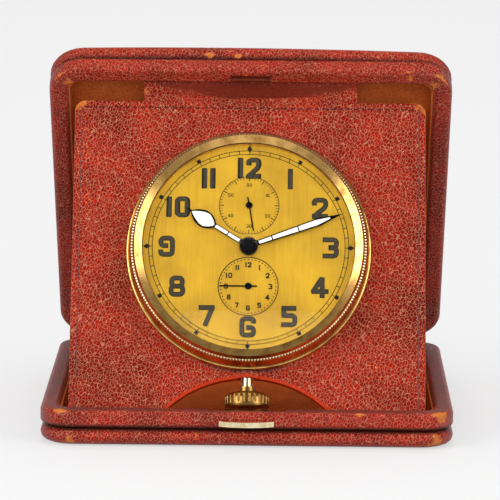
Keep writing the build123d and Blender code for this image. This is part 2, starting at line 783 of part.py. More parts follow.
with BuildPart() as hour_hand:
    with BuildSketch(hand_plane(centre_arbor, hour_hand_angle, hour_hand_level)):
        with BuildLine():
            Line((-hand_root_half, 0), (-hand_root_half, hour_blade_start))
            Spline(
                (-hand_root_half, hour_blade_start),
                (-hour_blade_half, hour_blade_wide),
                (-hand_root_half / 2, hour_blade_end),
            )
            Line((-hand_root_half / 2, hour_blade_end), (0, hour_hand_length))
            Line((0, hour_hand_length), (hand_root_half / 2, hour_blade_end))
            Spline(
                (hand_root_half / 2, hour_blade_end),
                (hour_blade_half, hour_blade_wide),
                (hand_root_half, hour_blade_start),
            )
            Line((hand_root_half, hour_blade_start), (hand_root_half, 0))
            Line((hand_root_half, 0), (-hand_root_half, 0))
        make_face()
        Circle(hand_hub_radius)
        Circle(hour_tube_radius + fit_gap, mode=Mode.SUBTRACT)
    extrude(amount=hand_thickness)
keep(hour_hand, "hour_hand")

with BuildPart() as minute_hand:
    with BuildSketch(hand_plane(centre_arbor, minute_hand_angle, minute_hand_level)):
        with BuildLine():
            Polyline(
                (-hand_root_half, 0),
                (-minute_half, minute_wide),
                (0, minute_hand_length),
                (minute_half, minute_wide),
                (hand_root_half, 0),
                close=True,
            )
        make_face()
        Circle(hand_hub_radius)
        Circle(cannon_radius + fit_gap, mode=Mode.SUBTRACT)
    extrude(amount=hand_thickness)
keep(minute_hand, "minute_hand")

cap_low = minute_hand_level + hand_thickness
with BuildPart() as hand_cap:
    with BuildSketch(turning):
        with BuildLine():
            Line((0, cap_low), (cap_radius, cap_low))
            Line((cap_radius, cap_low), (cap_radius, cap_low + hand_thickness))
            dome_low = cap_low + hand_thickness
            ThreePointArc(
                (cap_radius, dome_low),
                dome_middle(cap_radius, dome_low, cap_top - dome_low),
                (0, cap_top),
            )
            Line((0, cap_top), (0, cap_low))
        make_face()
    revolve(axis=clock_axis)
keep(hand_cap, "hand_cap")


def sub_hand(centre, angle, length, bore):
    """A slim pointer with a boss and a short tail."""
    with BuildPart() as pointer:
        with BuildSketch(hand_plane(centre, angle, sub_hand_level)):
            with Locations((0, -sub_hand_tail)):
                Rectangle(2 * sub_hand_half, sub_hand_tail + length, align=(Align.CENTER, Align.MIN))
            Circle(sub_hub_radius)
            Circle(bore + fit_gap, mode=Mode.SUBTRACT)
        extrude(amount=sub_hand_thickness)
    return pointer


keep(sub_hand(fourth_arbor, seconds_hand_angle, seconds_hand_length, seconds_arbor_radius), "seconds_hand")
keep(sub_hand(alarm_arbor, alarm_hand_angle, alarm_hand_length, alarm_arbor_radius), "alarm_hand")

# Wheels and pinions
Gear = namedtuple("Gear", "centre teeth module phase")


def mesh(centre, teeth, phase, mate_centre, mate_teeth):
    """A gear and its mate, sized by their distance, with the mate's gap on the gear's tooth."""
    reach_x = mate_centre[0] - centre[0]
    reach_y = mate_centre[1] - centre[1]
    module = 2 * hypot(reach_x, reach_y) / (teeth + mate_teeth)
    towards = atan2(reach_y, reach_x)
    mate_phase = towards + pi - pi / mate_teeth + teeth / mate_teeth * (towards - phase)
    return Gear(centre, teeth, module, phase), Gear(mate_centre, mate_teeth, module, mate_phase)


def gear_face(gear, level):
    """A toothed outline at one level of the clock."""
    root = gear.module * (gear.teeth / 2 - tooth_below)
    tip = gear.module * (gear.teeth / 2 + tooth_above)
    pinion = gear.teeth <= most_leaves
    tip_half = leaf_tip if pinion else tooth_tip
    root_half = leaf_root if pinion else tooth_root
    corners = ((root, -root_half), (tip, -tip_half), (tip, tip_half), (root, root_half))
    points = []
    for tooth in range(gear.teeth):
        for radius, offset_share in corners:
            turn = gear.phase + 2 * pi * (tooth + offset_share) / gear.teeth
            points.append((gear.centre[0] + radius * cos(turn), gear.centre[1] + radius * sin(turn)))
    with BuildSketch(clock.offset(level)) as face:
        with BuildLine():
            Polyline(*points, close=True)
        make_face()
    return face.sketch


def spoked_face(gear, hub_radius, level):
    """A wheel's outline with its crossings cut out."""
    rim_inside = gear.module * (gear.teeth / 2 - tooth_below) - wheel_rim
    with BuildSketch(clock.offset(level)) as gaps:
        with Locations(gear.centre):
            Circle(rim_inside)
            Circle(hub_radius, mode=Mode.SUBTRACT)
            Rectangle(2 * rim_inside, spoke_width, mode=Mode.SUBTRACT)
            Rectangle(spoke_width, 2 * rim_inside, mode=Mode.SUBTRACT)
    return gear_face(gear, level) - gaps.sketch


barrel_gear, centre_pinion = mesh(barrel_arbor, barrel_teeth, 0.0, centre_arbor, centre_pinion_teeth)
centre_gear, third_pinion = mesh(centre_arbor, centre_teeth, 0.0, third_arbor, third_pinion_teeth)
third_gear, fourth_pinion = mesh(third_arbor, third_teeth, 0.0, fourth_arbor, fourth_pinion_teeth)
fourth_gear, escape_pinion = mesh(fourth_arbor, fourth_teeth, 0.0, escape_arbor, escape_pinion_teeth)
cannon_gear, minute_gear = mesh(centre_arbor, cannon_teeth, 0.0, minute_wheel_stud, minute_wheel_teeth)
minute_pinion, hour_gear = mesh(minute_wheel_stud, minute_pinion_teeth, 0.0, centre_arbor, hour_wheel_teeth)
ratchet_gear, crown_gear = mesh(barrel_arbor, ratchet_teeth, 0.0, crown_wheel_stud, crown_wheel_teeth)

with BuildPart() as going_barrel:
    extrude(gear_face(barrel_gear, lower_wheels), amount=wheel_thickness)
    extrude(disc(barrel_arbor, barrel_drum_radius, lower_wheels), amount=barrel_top - lower_wheels)
    bore = disc(barrel_arbor, barrel_arbor_radius + running_gap, lower_wheels)
    extrude(bore, amount=barrel_top - lower_wheels, mode=Mode.SUBTRACT)
keep(going_barrel, "going_barrel")

with BuildPart() as alarm_barrel:
    drum = disc(alarm_barrel_arbor, alarm_barrel_radius, lower_wheels, barrel_arbor_radius + running_gap)
    extrude(drum, amount=barrel_top - lower_wheels)
    chamfer(alarm_barrel.faces().sort_by(clock_axis)[0].outer_wire().edges(), wheel_thickness)
keep(alarm_barrel, "alarm_barrel")


def winding_arbor(centre):
    """Arbor from the ratchet, through the bridge and the barrel, into the main plate."""
    with BuildPart() as arbor:
        extrude(disc(centre, barrel_arbor_radius, ratchet_low), amount=plate_high - ratchet_low)
    return arbor


keep(winding_arbor(barrel_arbor), "barrel_arbor")
keep(winding_arbor(alarm_barrel_arbor), "alarm_barrel_arbor")

with BuildPart() as ratchet_wheel:
    extrude(gear_face(ratchet_gear, ratchet_low), amount=ratchet_high - ratchet_low)
    bore = disc(barrel_arbor, barrel_arbor_radius + fit_gap, ratchet_low)
    extrude(bore, amount=ratchet_high - ratchet_low, mode=Mode.SUBTRACT)
keep(ratchet_wheel, "ratchet_wheel")

alarm_ratchet_gear = Gear(alarm_barrel_arbor, ratchet_teeth, ratchet_gear.module, 0.0)
with BuildPart() as alarm_ratchet:
    extrude(gear_face(alarm_ratchet_gear, ratchet_low), amount=ratchet_high - ratchet_low)
    bore = disc(alarm_barrel_arbor, barrel_arbor_radius + fit_gap, ratchet_low)
    extrude(bore, amount=ratchet_high - ratchet_low, mode=Mode.SUBTRACT)
keep(alarm_ratchet, "alarm_ratchet")

with BuildPart() as crown_wheel:
    extrude(gear_face(crown_gear, ratchet_low), amount=ratchet_high - ratchet_low)
    bore = disc(crown_wheel_stud, barrel_arbor_radius + running_gap, ratchet_low)
    extrude(bore, amount=ratchet_high - ratchet_low, mode=Mode.SUBTRACT)
keep(crown_wheel, "crown_wheel")

with BuildPart() as centre_wheel:
    extrude(spoked_face(centre_gear, cannon_radius, upper_wheels), amount=wheel_thickness)
    pinion_low = lower_wheels - pinion_spare
    extrude(gear_face(centre_pinion, pinion_low), amount=wheel_thickness + 2 * pinion_spare)
    extrude(disc(centre_arbor, centre_arbor_radius, pinion_low), amount=cap_low - pinion_low)
    extrude(disc(centre_arbor, arbor_radius, bridge_low), amount=pinion_low - bridge_low)
keep(centre_wheel, "centre_wheel")

with BuildPart() as third_wheel:
    extrude(spoked_face(third_gear, arbor_radius * 2, middle_wheels), amount=wheel_thickness)
    pinion_low = upper_wheels - pinion_spare
    extrude(gear_face(third_pinion, pinion_low), amount=wheel_thickness + 2 * pinion_spare - running_gap)
    extrude(disc(third_arbor, arbor_radius, bridge_high + running_gap), amount=pinion_low - bridge_high)
    extrude(disc(third_arbor, pivot_radius, bridge_low), amount=plate_high - bridge_low)
keep(third_wheel, "third_wheel")

with BuildPart() as fourth_wheel:
    extrude(spoked_face(fourth_gear, arbor_radius * 2, lower_wheels), amount=wheel_thickness)
    pinion_low = middle_wheels - pinion_spare
    extrude(gear_face(fourth_pinion, pinion_low), amount=wheel_thickness + 2 * pinion_spare)
    arbor_top = sub_hand_level + sub_hand_thickness
    arbor_low = bridge_high + running_gap
    extrude(disc(fourth_arbor, seconds_arbor_radius, arbor_low), amount=arbor_top - arbor_low)
    extrude(disc(fourth_arbor, pivot_radius, bridge_low), amount=plate_low - bridge_low)
keep(fourth_wheel, "fourth_wheel")

with BuildPart() as escape_wheel:
    points = []
    for tooth in range(escape_teeth):
        for radius, share in escape_tooth:
            turn = 2 * pi * (tooth + share) / escape_teeth
            points.append((escape_arbor[0] + radius * cos(turn), escape_arbor[1] + radius * sin(turn)))
    with BuildSketch(clock.offset(upper_wheels)):
        with BuildLine():
            Polyline(*points, close=True)
        make_face()
    extrude(amount=wheel_thickness)
    pinion_low = lower_wheels - pinion_spare
    extrude(gear_face(escape_pinion, pinion_low), amount=wheel_thickness + 2 * pinion_spare)
    extrude(disc(escape_arbor, arbor_radius, lower_wheels), amount=plate_low - running_gap - lower_wheels)
    extrude(disc(escape_arbor, pivot_radius, bridge_low), amount=plate_high - bridge_low)
keep(escape_wheel, "escape_wheel")

# Pallet lever: two arms that straddle the escape wheel and a tail towards the balance
lever_angle = degrees(atan2(balance_arbor[0] - pallet_arbor[0], balance_arbor[1] - pallet_arbor[1]))
lever_reach = hypot(balance_arbor[0] - pallet_arbor[0], balance_arbor[1] - pallet_arbor[1])
escape_reach = hypot(escape_arbor[0] - pallet_arbor[0], escape_arbor[1] - pallet_arbor[1])
stone_inside = pallet_arm_half - pallet_arm_width
stone_reach = escape_reach - sqrt((escape_radius + 2 * hole_gap) ** 2 - stone_inside**2)
with BuildPart() as pallet_lever:
    with BuildSketch(hand_plane(pallet_arbor, lever_angle, upper_wheels)):
        Rectangle(2 * pallet_arm_half, pallet_arm_width)
        for side in (-1, 1):
            with Locations((side * (pallet_arm_half - pallet_arm_width / 2), pallet_arm_width / 2)):
                Rectangle(pallet_arm_width, stone_reach, align=(Align.CENTER, Align.MAX))
        tail = lever_reach - roller_radius - hole_gap
        Rectangle(pallet_arm_width, tail, align=(Align.CENTER, Align.MIN))
    extrude(amount=wheel_thickness)
    staff_low = upper_wheels - pinion_spare
    extrude(disc(pallet_arbor, pivot_radius, staff_low), amount=plate_high - staff_low)
keep(pallet_lever, "pallet_lever")

with BuildPart() as balance_wheel:
    with BuildSketch(clock.offset(lower_wheels)):
        with Locations(balance_arbor):
            Circle(balance_radius)
            Circle(balance_radius - balance_rim, mode=Mode.SUBTRACT)
            Rectangle(2 * balance_radius - balance_rim, spoke_width)
            Circle(roller_radius)
    extrude(amount=wheel_thickness)
    extrude(disc(balance_arbor, roller_radius, upper_wheels), amount=wheel_thickness)
    staff_low = bridge_high + running_gap
    extrude(disc(balance_arbor, arbor_radius, staff_low), amount=plate_low - running_gap - staff_low)
    extrude(disc(balance_arbor, pivot_radius, bridge_low), amount=plate_high - bridge_low)
keep(balance_wheel, "balance_wheel")

hairspring_low = lower_wheels + wheel_thickness + 2 * hole_gap
hairspring_start = roller_radius + 2 * hole_gap
spiral_step = (hairspring_radius - hairspring_start) / hairspring_half_turns
with BuildPart() as hairspring:
    with BuildSketch(clock.offset(hairspring_low)):
        with BuildLine():
            for half in range(hairspring_half_turns):
                arc_points = []
                for share in (0, 0.5, 1):
                    reach = hairspring_start + spiral_step * (half + share)
                    turn = pi * (half + share)
                    spot = (balance_arbor[0] + reach * cos(turn), balance_arbor[1] + reach * sin(turn))
                    arc_points.append(spot)
                ThreePointArc(*arc_points)
        trace(line_width=hairspring_strip)
    extrude(amount=wheel_thickness)
    stud = (balance_arbor[0] + hairspring_radius, balance_arbor[1])
    extrude(disc(stud, arbor_radius, hairspring_low), amount=plate_low - hairspring_low)
keep(hairspring, "hairspring")

# Motion work under the dial
with BuildPart() as cannon_pinion:
    extrude(gear_face(cannon_gear, cannon_level), amount=motion_thickness)
    extrude(disc(centre_arbor, cannon_radius, cannon_level), amount=cap_low - cannon_level)
    bore = disc(centre_arbor, centre_arbor_radius + running_gap, cannon_level)
    extrude(bore, amount=cap_low - cannon_level, mode=Mode.SUBTRACT)
keep(cannon_pinion, "cannon_pinion")

stud_top = hour_wheel_level + motion_thickness
with BuildPart() as minute_wheel:
    extrude(gear_face(minute_gear, cannon_level), amount=motion_thickness)
    extrude(gear_face(minute_pinion, cannon_level), amount=stud_top - cannon_level)
    bore = disc(minute_wheel_stud, arbor_radius + running_gap, cannon_level)
    extrude(bore, amount=stud_top - cannon_level, mode=Mode.SUBTRACT)
keep(minute_wheel, "minute_wheel")

hour_tube_top = hour_hand_level + hand_thickness
with BuildPart() as hour_wheel:
    extrude(gear_face(hour_gear, hour_wheel_level), amount=motion_thickness)
    extrude(disc(centre_arbor, hour_tube_radius, hour_wheel_level), amount=hour_tube_top - hour_wheel_level)
    bore = disc(centre_arbor, cannon_radius + running_gap, hour_wheel_level)
    extrude(bore, amount=hour_tube_top - hour_wheel_level, mode=Mode.SUBTRACT)
keep(hour_wheel, "hour_wheel")

with BuildPart() as alarm_wheel:
    extrude(disc(alarm_arbor, alarm_wheel_radius, cannon_level), amount=motion_thickness)
    with BuildSketch(clock.offset(cannon_level)):
        with Locations((alarm_arbor[0], alarm_arbor[1] + alarm_wheel_radius)):
            Rectangle(spoke_width, spoke_width * 2)
    extrude(amount=motion_thickness, mode=Mode.SUBTRACT)
    arbor_top = sub_hand_level + sub_hand_thickness
    extrude(disc(alarm_arbor, alarm_arbor_radius, plate_low), amount=arbor_top - plate_low)
keep(alarm_wheel, "alarm_wheel")

# Plate and bridges that carry the pivots
small_pivots = (third_arbor, escape_arbor, pallet_arbor, balance_arbor)
window_half = stem_pinion_radius + 2 * hole_gap
with BuildPart() as main_plate:
    extrude(disc((0, 0), plate_radius, plate_low), amount=plate_high - plate_low)
    extrude(disc(minute_wheel_stud, arbor_radius, plate_high), amount=stud_top - plate_high)
    with BuildSketch(clock.offset(plate_low)):
        with Locations(*small_pivots):
            Circle(pivot_radius + running_gap)
        with Locations(centre_arbor):
            Circle(centre_arbor_radius + running_gap)
        with Locations(fourth_arbor):
            Circle(seconds_arbor_radius + running_gap)
        with Locations(alarm_arbor):
            Circle(alarm_arbor_radius + running_gap)
        with Locations(barrel_arbor, alarm_barrel_arbor):
            Circle(barrel_arbor_radius + running_gap)
        with Locations((0, -winding_pinion_start + hole_gap)):
            Rectangle(2 * window_half, plate_radius, align=(Align.CENTER, Align.MAX))
    extrude(amount=plate_high - plate_low, mode=Mode.SUBTRACT)
keep(main_plate, "main_plate")


def bridge(spots, pillars, pivots, edge=bridge_edge):
    """A bridge over some arbors: a rounded plate on pillars, bored for pivots and screws."""
    with BuildPart() as span:
        with BuildSketch(clock.offset(bridge_low)):
            with Locations(*spots, *pillars):
                Circle(edge)
            make_hull()
        extrude(amount=bridge_high - bridge_low)
        with BuildSketch(clock.offset(bridge_high)):
            with Locations(*pillars):
                Circle(pillar_radius)
        extrude(amount=plate_low - bridge_high)
        with BuildSketch(clock.offset(bridge_low)):
            for place, radius in pivots:
                with Locations(place):
                    Circle(radius + running_gap)
            with Locations(*pillars):
                Circle(clamp_screw_radius + fit_gap)
        extrude(amount=bridge_high - bridge_low, mode=Mode.SUBTRACT)
    return span


train_pivots = [
    (centre_arbor, arbor_radius),
    (third_arbor, pivot_radius),
    (fourth_arbor, pivot_radius),
    (escape_arbor, pivot_radius),
    (hammer_pivot, pivot_radius),
]
train_spots = (third_arbor, fourth_arbor, escape_arbor, centre_arbor)
keep(bridge(train_spots, train_pillars, train_pivots), "train_bridge")
keep(bridge((balance_arbor,), (cock_pillar,), [(balance_arbor, pivot_radius)]), "balance_cock")

barrel_arbors = (barrel_arbor, alarm_barrel_arbor)
barrel_pivots = [(place, barrel_arbor_radius) for place in barrel_arbors]
with BuildPart() as barrel_bridge:
    add(bridge(barrel_arbors, barrel_pillars, barrel_pivots, barrel_bridge_edge).part)
    extrude(disc(crown_wheel_stud, barrel_arbor_radius, ratchet_low), amount=bridge_low - ratchet_low)
keep(barrel_bridge, "barrel_bridge")

with BuildPart() as bridge_screws:
    with BuildSketch(clock.offset(bridge_low - screw_head_thickness)):
        with Locations(*train_pillars, cock_pillar, *barrel_pillars):
            Circle(screw_head_radius)
    extrude(amount=screw_head_thickness)
    with BuildSketch(clock.offset(bridge_low)):
        with Locations(*train_pillars, cock_pillar, *barrel_pillars):
            Circle(clamp_screw_radius)
    extrude(amount=bridge_high - bridge_low)
keep(bridge_screws, "bridge_screws")

# Alarm: a hammer on the train bridge and a wire gong on the case back
gong_low = case_back_inside + running_gap
with BuildPart() as alarm_gong:
    with BuildSketch(turning):
        with Locations((gong_radius, gong_low)):
            Rectangle(gong_wire, gong_height, align=(Align.MAX, Align.MIN))
    revolve(axis=clock_axis, revolution_arc=gong_sweep)
    foot = disc((gong_radius - gong_wire / 2, 0), gong_wire / 2 - fit_gap, case_back_inside - fit_gap)
    extrude(foot, amount=gong_low - case_back_inside + fit_gap)
keep(alarm_gong, "alarm_gong")

with BuildPart() as alarm_hammer:
    with BuildSketch(clock.offset(gong_low)):
        with Locations(hammer_pivot):
            Circle(screw_head_radius)
        with Locations(hammer_head):
            Circle(hammer_head_radius)
        make_hull()
    extrude(amount=gong_height)
    extrude(disc(hammer_pivot, pivot_radius, gong_low), amount=bridge_high - gong_low)
keep(alarm_hammer, "alarm_hammer")

print(f"panel height {panel_height:.2f}, back tray leans {degrees(tray_lean):.2f} degrees")
print(f"hinge line y {spine_y:.3f} z {tray_height:.3f}")
print(f"fold line y {spine_y + fold_point_y:.4f} z {tray_height + fold_point_z:.4f}")
print(f"clock centre {clock.origin}, normal {clock.z_dir}")
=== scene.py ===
import json
from math import atan2, cos, pi, radians, sin

import bmesh
import bpy
from mathutils import Matrix, Vector, noise


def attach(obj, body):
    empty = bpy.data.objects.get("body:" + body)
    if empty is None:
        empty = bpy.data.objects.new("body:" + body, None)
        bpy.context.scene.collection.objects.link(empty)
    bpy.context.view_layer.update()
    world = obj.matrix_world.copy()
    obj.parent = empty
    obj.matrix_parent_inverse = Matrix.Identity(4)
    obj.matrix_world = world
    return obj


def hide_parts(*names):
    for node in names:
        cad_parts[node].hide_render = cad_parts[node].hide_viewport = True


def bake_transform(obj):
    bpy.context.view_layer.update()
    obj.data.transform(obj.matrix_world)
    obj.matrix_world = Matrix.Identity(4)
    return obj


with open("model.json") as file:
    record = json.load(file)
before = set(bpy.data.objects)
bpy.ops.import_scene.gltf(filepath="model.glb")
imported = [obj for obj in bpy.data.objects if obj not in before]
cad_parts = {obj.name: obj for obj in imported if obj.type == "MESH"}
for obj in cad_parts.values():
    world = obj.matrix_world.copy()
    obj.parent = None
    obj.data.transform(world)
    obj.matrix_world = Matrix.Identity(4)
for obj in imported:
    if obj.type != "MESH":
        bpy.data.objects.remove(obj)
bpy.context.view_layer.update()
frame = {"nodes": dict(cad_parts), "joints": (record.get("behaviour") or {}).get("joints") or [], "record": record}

# Sizes of the solids that the dressing follows, in millimetres
MM = 0.001
case_width = 94.0
tray_depth = 93.5
tray_height = 8.4
tray_wall = 4.4
tray_corner = 8.0
spine_gap = 0.5
groove_level = -4.1  # top of the padded cover, below the rim
pocket_level = -6.9
panel_width = 81.5
panel_top = 35.9  # above the clock centre
panel_foot = -41.6
arch_top = -30.0
arch_radius = 26.5
strap_width = 49.5
strap_tail_y = 88.3  # strap's tail along the back tray
dial_top = 3.6
seconds_centre = (0.0, 9.9)
alarm_centre = (0.0, -9.25)
subdial_floor = 3.5
hour_hand_angle = 302.0
hour_hand_top = 4.3
minute_hand_angle = 69.9
minute_hand_top = 4.75

# Photograph's camera
camera_azimuth = radians(0.40)
camera_elevation = radians(8.981)
camera_roll = radians(0.53)
camera_distance = 0.9268
camera_lens = 282.46
camera_sensor = 36.0
camera_target = Vector((0.000125, 0.0, 0.03802))


def measured_frame(origin, across, out):
    """A frame in millimetres: x across a face, z out of it and y up it."""
    turn = Matrix((across, out.cross(across), out)).transposed()
    return Matrix.Translation(origin) @ (turn * MM).to_4x4()


joints = {joint["name"]: joint for joint in frame["joints"]}
right = Vector((1, 0, 0))
hinge_line = Vector(joints["spine_hinge"]["pos_m"])
tray_lean = radians(joints["spine_hinge"]["range_deg"][1] - 90)
clock_middle = Vector(joints["minute_hand_turn"]["pos_m"])
dial_normal = -Vector(joints["minute_hand_turn"]["axis"])
base_tray = measured_frame(hinge_line, -right, Vector((0, 0, 1)))
back_tray = measured_frame(hinge_line, right, Vector((0, -cos(tray_lean), -sin(tray_lean))))
clock = measured_frame(clock_middle, right, dial_normal)
panel_lean = atan2(dial_normal.z, -dial_normal.y)


# Materials
def paint(code):
    """Linear colour of an sRGB hex value."""
    shares = [int(code[i : i + 2], 16) / 255 for i in (1, 3, 5)]
    return (*[s / 12.92 if s <= 0.04045 else ((s + 0.055) / 1.055) ** 2.4 for s in shares], 1.0)


def node(tree, kind, inputs, **settings):
    """Add a shader node with its settings, and a value or a link on each named input."""
    new = tree.nodes.new(kind)
    for name, value in settings.items():
        setattr(new, name, value)
    for name, value in inputs.items():
        if isinstance(value, bpy.types.NodeSocket):
            tree.links.new(value, new.inputs[name])
        else:
            new.inputs[name].default_value = value
    return new


def new_material(name):
    """An empty material and its node tree, with the surface shader ready."""
    material = bpy.data.materials.new(name)
    material.use_nodes = True
    return material, material.node_tree, material.node_tree.nodes["Principled BSDF"]


FACTOR, MIX_A, MIX_B, MIXED = 0, 6, 7, 2  # sockets of a colour mix

# Sizes of the leather's pattern, in millimetres
pebble = 0.72  # across a cell of the grain
pebble_height = 0.12
pore = 0.35
wander = 2.5  # length over which the cells drift
wander_reach = 0.5
dye_patch = 11.0
rub_grit = 1.1
groove_shade_edges = (1.1, 0.4)  # outer and inner edge of the painted shade along a groove

# Leather's finish
edge_wear = 0.5  # share of the rubbing that every edge has
leather_roughness = 0.38
panel_shine = 0.16
handled_shine = 0.27  # trays, polished by hands


def grained_leather(
    name,
    tones,
    pebble=pebble,
    roughness=leather_roughness,
    shine=panel_shine,
    lean=0.0,
    under=None,
    soil=None,
    groove_shade=None,
    bands=(),
    rubbed=(),
):
    """Calf with a pebble grain, dyed: dark full cells in a net of pale furrows, rubbed at its corners. The
    furrows' paleness is partly their own tone and partly a painted sheen on the grain. Faces turned left and
    right get a painted sheen, and the groove tone paints shade along the groove under the rim.

    lean turns the sheet's faces square to the axes. bands are rings of colour, each a middle, its near and
    far edge, a tone and a share. rubbed holds worn spots, each a place and its reach.
    """
    material, tree, surface = new_material(name)
    coordinates = node(tree, "ShaderNodeTexCoord", {})
    place = coordinates.outputs["Object"]
    # The hide was stretched aslant, so its cells are longer one way
    slant = node(
        tree,
        "ShaderNodeMapping",
        {"Vector": place, "Rotation": (0.0, radians(30), 0.0), "Scale": (0.85, 1.0, 1.35)},
        vector_type="TEXTURE",
    )
    drift = node(tree, "ShaderNodeTexNoise", {"Vector": place, "Scale": 1 / (wander * MM)})
    shift = node(
        tree,
        "ShaderNodeVectorMath",
        {0: drift.outputs["Color"], 1: (wander_reach * MM,) * 3, 2: slant.outputs[0]},
        operation="MULTIPLY_ADD",
    )
    grain = {"Vector": shift.outputs[0], "Scale": 1 / (pebble * MM)}
    cells = node(tree, "ShaderNodeTexVoronoi", grain, feature="DISTANCE_TO_EDGE")
    tints = node(tree, "ShaderNodeTexVoronoi", grain)
    crown = node(
        tree,
        "ShaderNodeMapRange",
        {"Value": cells.outputs["Distance"], "From Max": 0.2},
        interpolation_type="SMOOTHSTEP",
    )
    pores = node(tree, "ShaderNodeTexNoise", {"Vector": place, "Scale": 1 / (pore * MM)})
    height = node(
        tree,
        "ShaderNodeMath",
        {0: pores.outputs["Fac"], 1: 0.4, 2: crown.outputs[0]},
        operation="MULTIPLY_ADD",
    )
    relief = node(
        tree,
        "ShaderNodeBump",
        {"Height": height.outputs[0], "Distance": pebble_height * MM, "Strength": 0.7},
    )
    patches = node(
        tree, "ShaderNodeTexNoise", {"Vector": place, "Scale": 1 / (dye_patch * MM), "Detail": 4.0}
    )
    patch = node(
        tree, "ShaderNodeMapRange", {"Value": patches.outputs["Fac"], "From Min": 0.42, "From Max": 0.7}
    )
    dye = node(
        tree,
        "ShaderNodeMix",
        {FACTOR: patch.outputs[0], MIX_A: paint(tones["main"]), MIX_B: paint(tones["dark"])},
        data_type="RGBA",
    )
    cell_share = node(tree, "ShaderNodeMapRange", {"Value": tints.outputs["Color"], "To Max": 0.8})
    cell = node(
        tree,
        "ShaderNodeMix",
        {FACTOR: cell_share.outputs[0], MIX_A: dye.outputs[MIXED], MIX_B: paint(tones["dark"])},
        data_type="RGBA",
    )
    # Furrows take the grain tone: their own paler tone, with a painted sheen on the grain in it
    pale_furrows_and_sheen = node(
        tree,
        "ShaderNodeMapRange",
        {"Value": height.outputs[0], "From Min": 0.12, "From Max": 0.47, "To Min": 0.85, "To Max": 0.0},
    )
    furrowed = node(
        tree,
        "ShaderNodeMix",
        {FACTOR: pale_furrows_and_sheen.outputs[0], MIX_A: cell.outputs[MIXED], MIX_B: paint(tones["grain"])},
        data_type="RGBA",
    )
    colour = furrowed.outputs[MIXED]
    # Sides that face left and right get the side tone: a painted sheen
    upright = node(
        tree,
        "ShaderNodeVectorRotate",
        {"Vector": coordinates.outputs["Normal"], "Angle": lean},
        rotation_type="X_AXIS",
    )
    facing = node(tree, "ShaderNodeSeparateXYZ", {0: upright.outputs[0]})
    unsigned = node(tree, "ShaderNodeVectorMath", {0: upright.outputs[0]}, operation="ABSOLUTE")
    sides = node(tree, "ShaderNodeSeparateXYZ", {0: unsigned.outputs[0]})
    side_sheen = node(
        tree,
        "ShaderNodeMapRange",
        {"Value": sides.outputs[0], "From Min": 0.55, "From Max": 0.98, "To Max": 0.55},
    )
    colour = node(
        tree,
        "ShaderNodeMix",
        {FACTOR: side_sheen.outputs[0], MIX_A: colour, MIX_B: paint(tones["side"])},
        data_type="RGBA",
    ).outputs[MIXED]
    # Faces turned down take the under tone: the bare leather of the panel's cut edge, and a darker brown on the
    # strap. Tops hold dirt.
    for tone, low, high, share in ((under, -0.2, -0.45, 1.0), (soil, 0.7, 0.97, 0.5)):
        if tone:
            turned = node(
                tree,
                "ShaderNodeMapRange",
                {"Value": facing.outputs[2], "From Min": low, "From Max": high, "To Max": share},
            )
            colour = node(
                tree,
                "ShaderNodeMix",
                {FACTOR: turned.outputs[0], MIX_A: colour, MIX_B: paint(tone)},
                data_type="RGBA",
            ).outputs[MIXED]
    # Painted shade along the groove between the rim and the padded cover, darkest at the groove's level
    if groove_shade:
        flat_place = node(
            tree,
            "ShaderNodeVectorRotate",
            {"Vector": place, "Center": hinge_line, "Angle": lean},
            rotation_type="X_AXIS",
        )
        level = node(tree, "ShaderNodeSeparateXYZ", {0: flat_place.outputs[0]})
        below = node(
            tree,
            "ShaderNodeMath",
            {0: level.outputs[2], 1: hinge_line.z + groove_level * MM},
            operation="SUBTRACT",
        )
        away = node(tree, "ShaderNodeMath", {0: below.outputs[0]}, operation="ABSOLUTE")
        outer, inner = groove_shade_edges
        groove_shading = node(
            tree,
            "ShaderNodeMapRange",
            {"Value": away.outputs[0], "From Min": outer * MM, "From Max": inner * MM, "To Max": 0.85},
        )
        colour = node(
            tree,
            "ShaderNodeMix",
            {FACTOR: groove_shading.outputs[0], MIX_A: colour, MIX_B: paint(groove_shade)},
            data_type="RGBA",
        ).outputs[MIXED]
    # Rings of colour, painted shadow among them
    for middle, near, far, tone, share in bands:
        span = node(tree, "ShaderNodeVectorMath", {0: place, 1: middle}, operation="DISTANCE")
        band = node(
            tree,
            "ShaderNodeMapRange",
            {"Value": span.outputs["Value"], "From Min": far * MM, "From Max": near * MM, "To Max": share},
        )
        colour = node(
            tree,
            "ShaderNodeMix",
            {FACTOR: band.outputs[0], MIX_A: colour, MIX_B: paint(tone)},
            data_type="RGBA",
        ).outputs[MIXED]
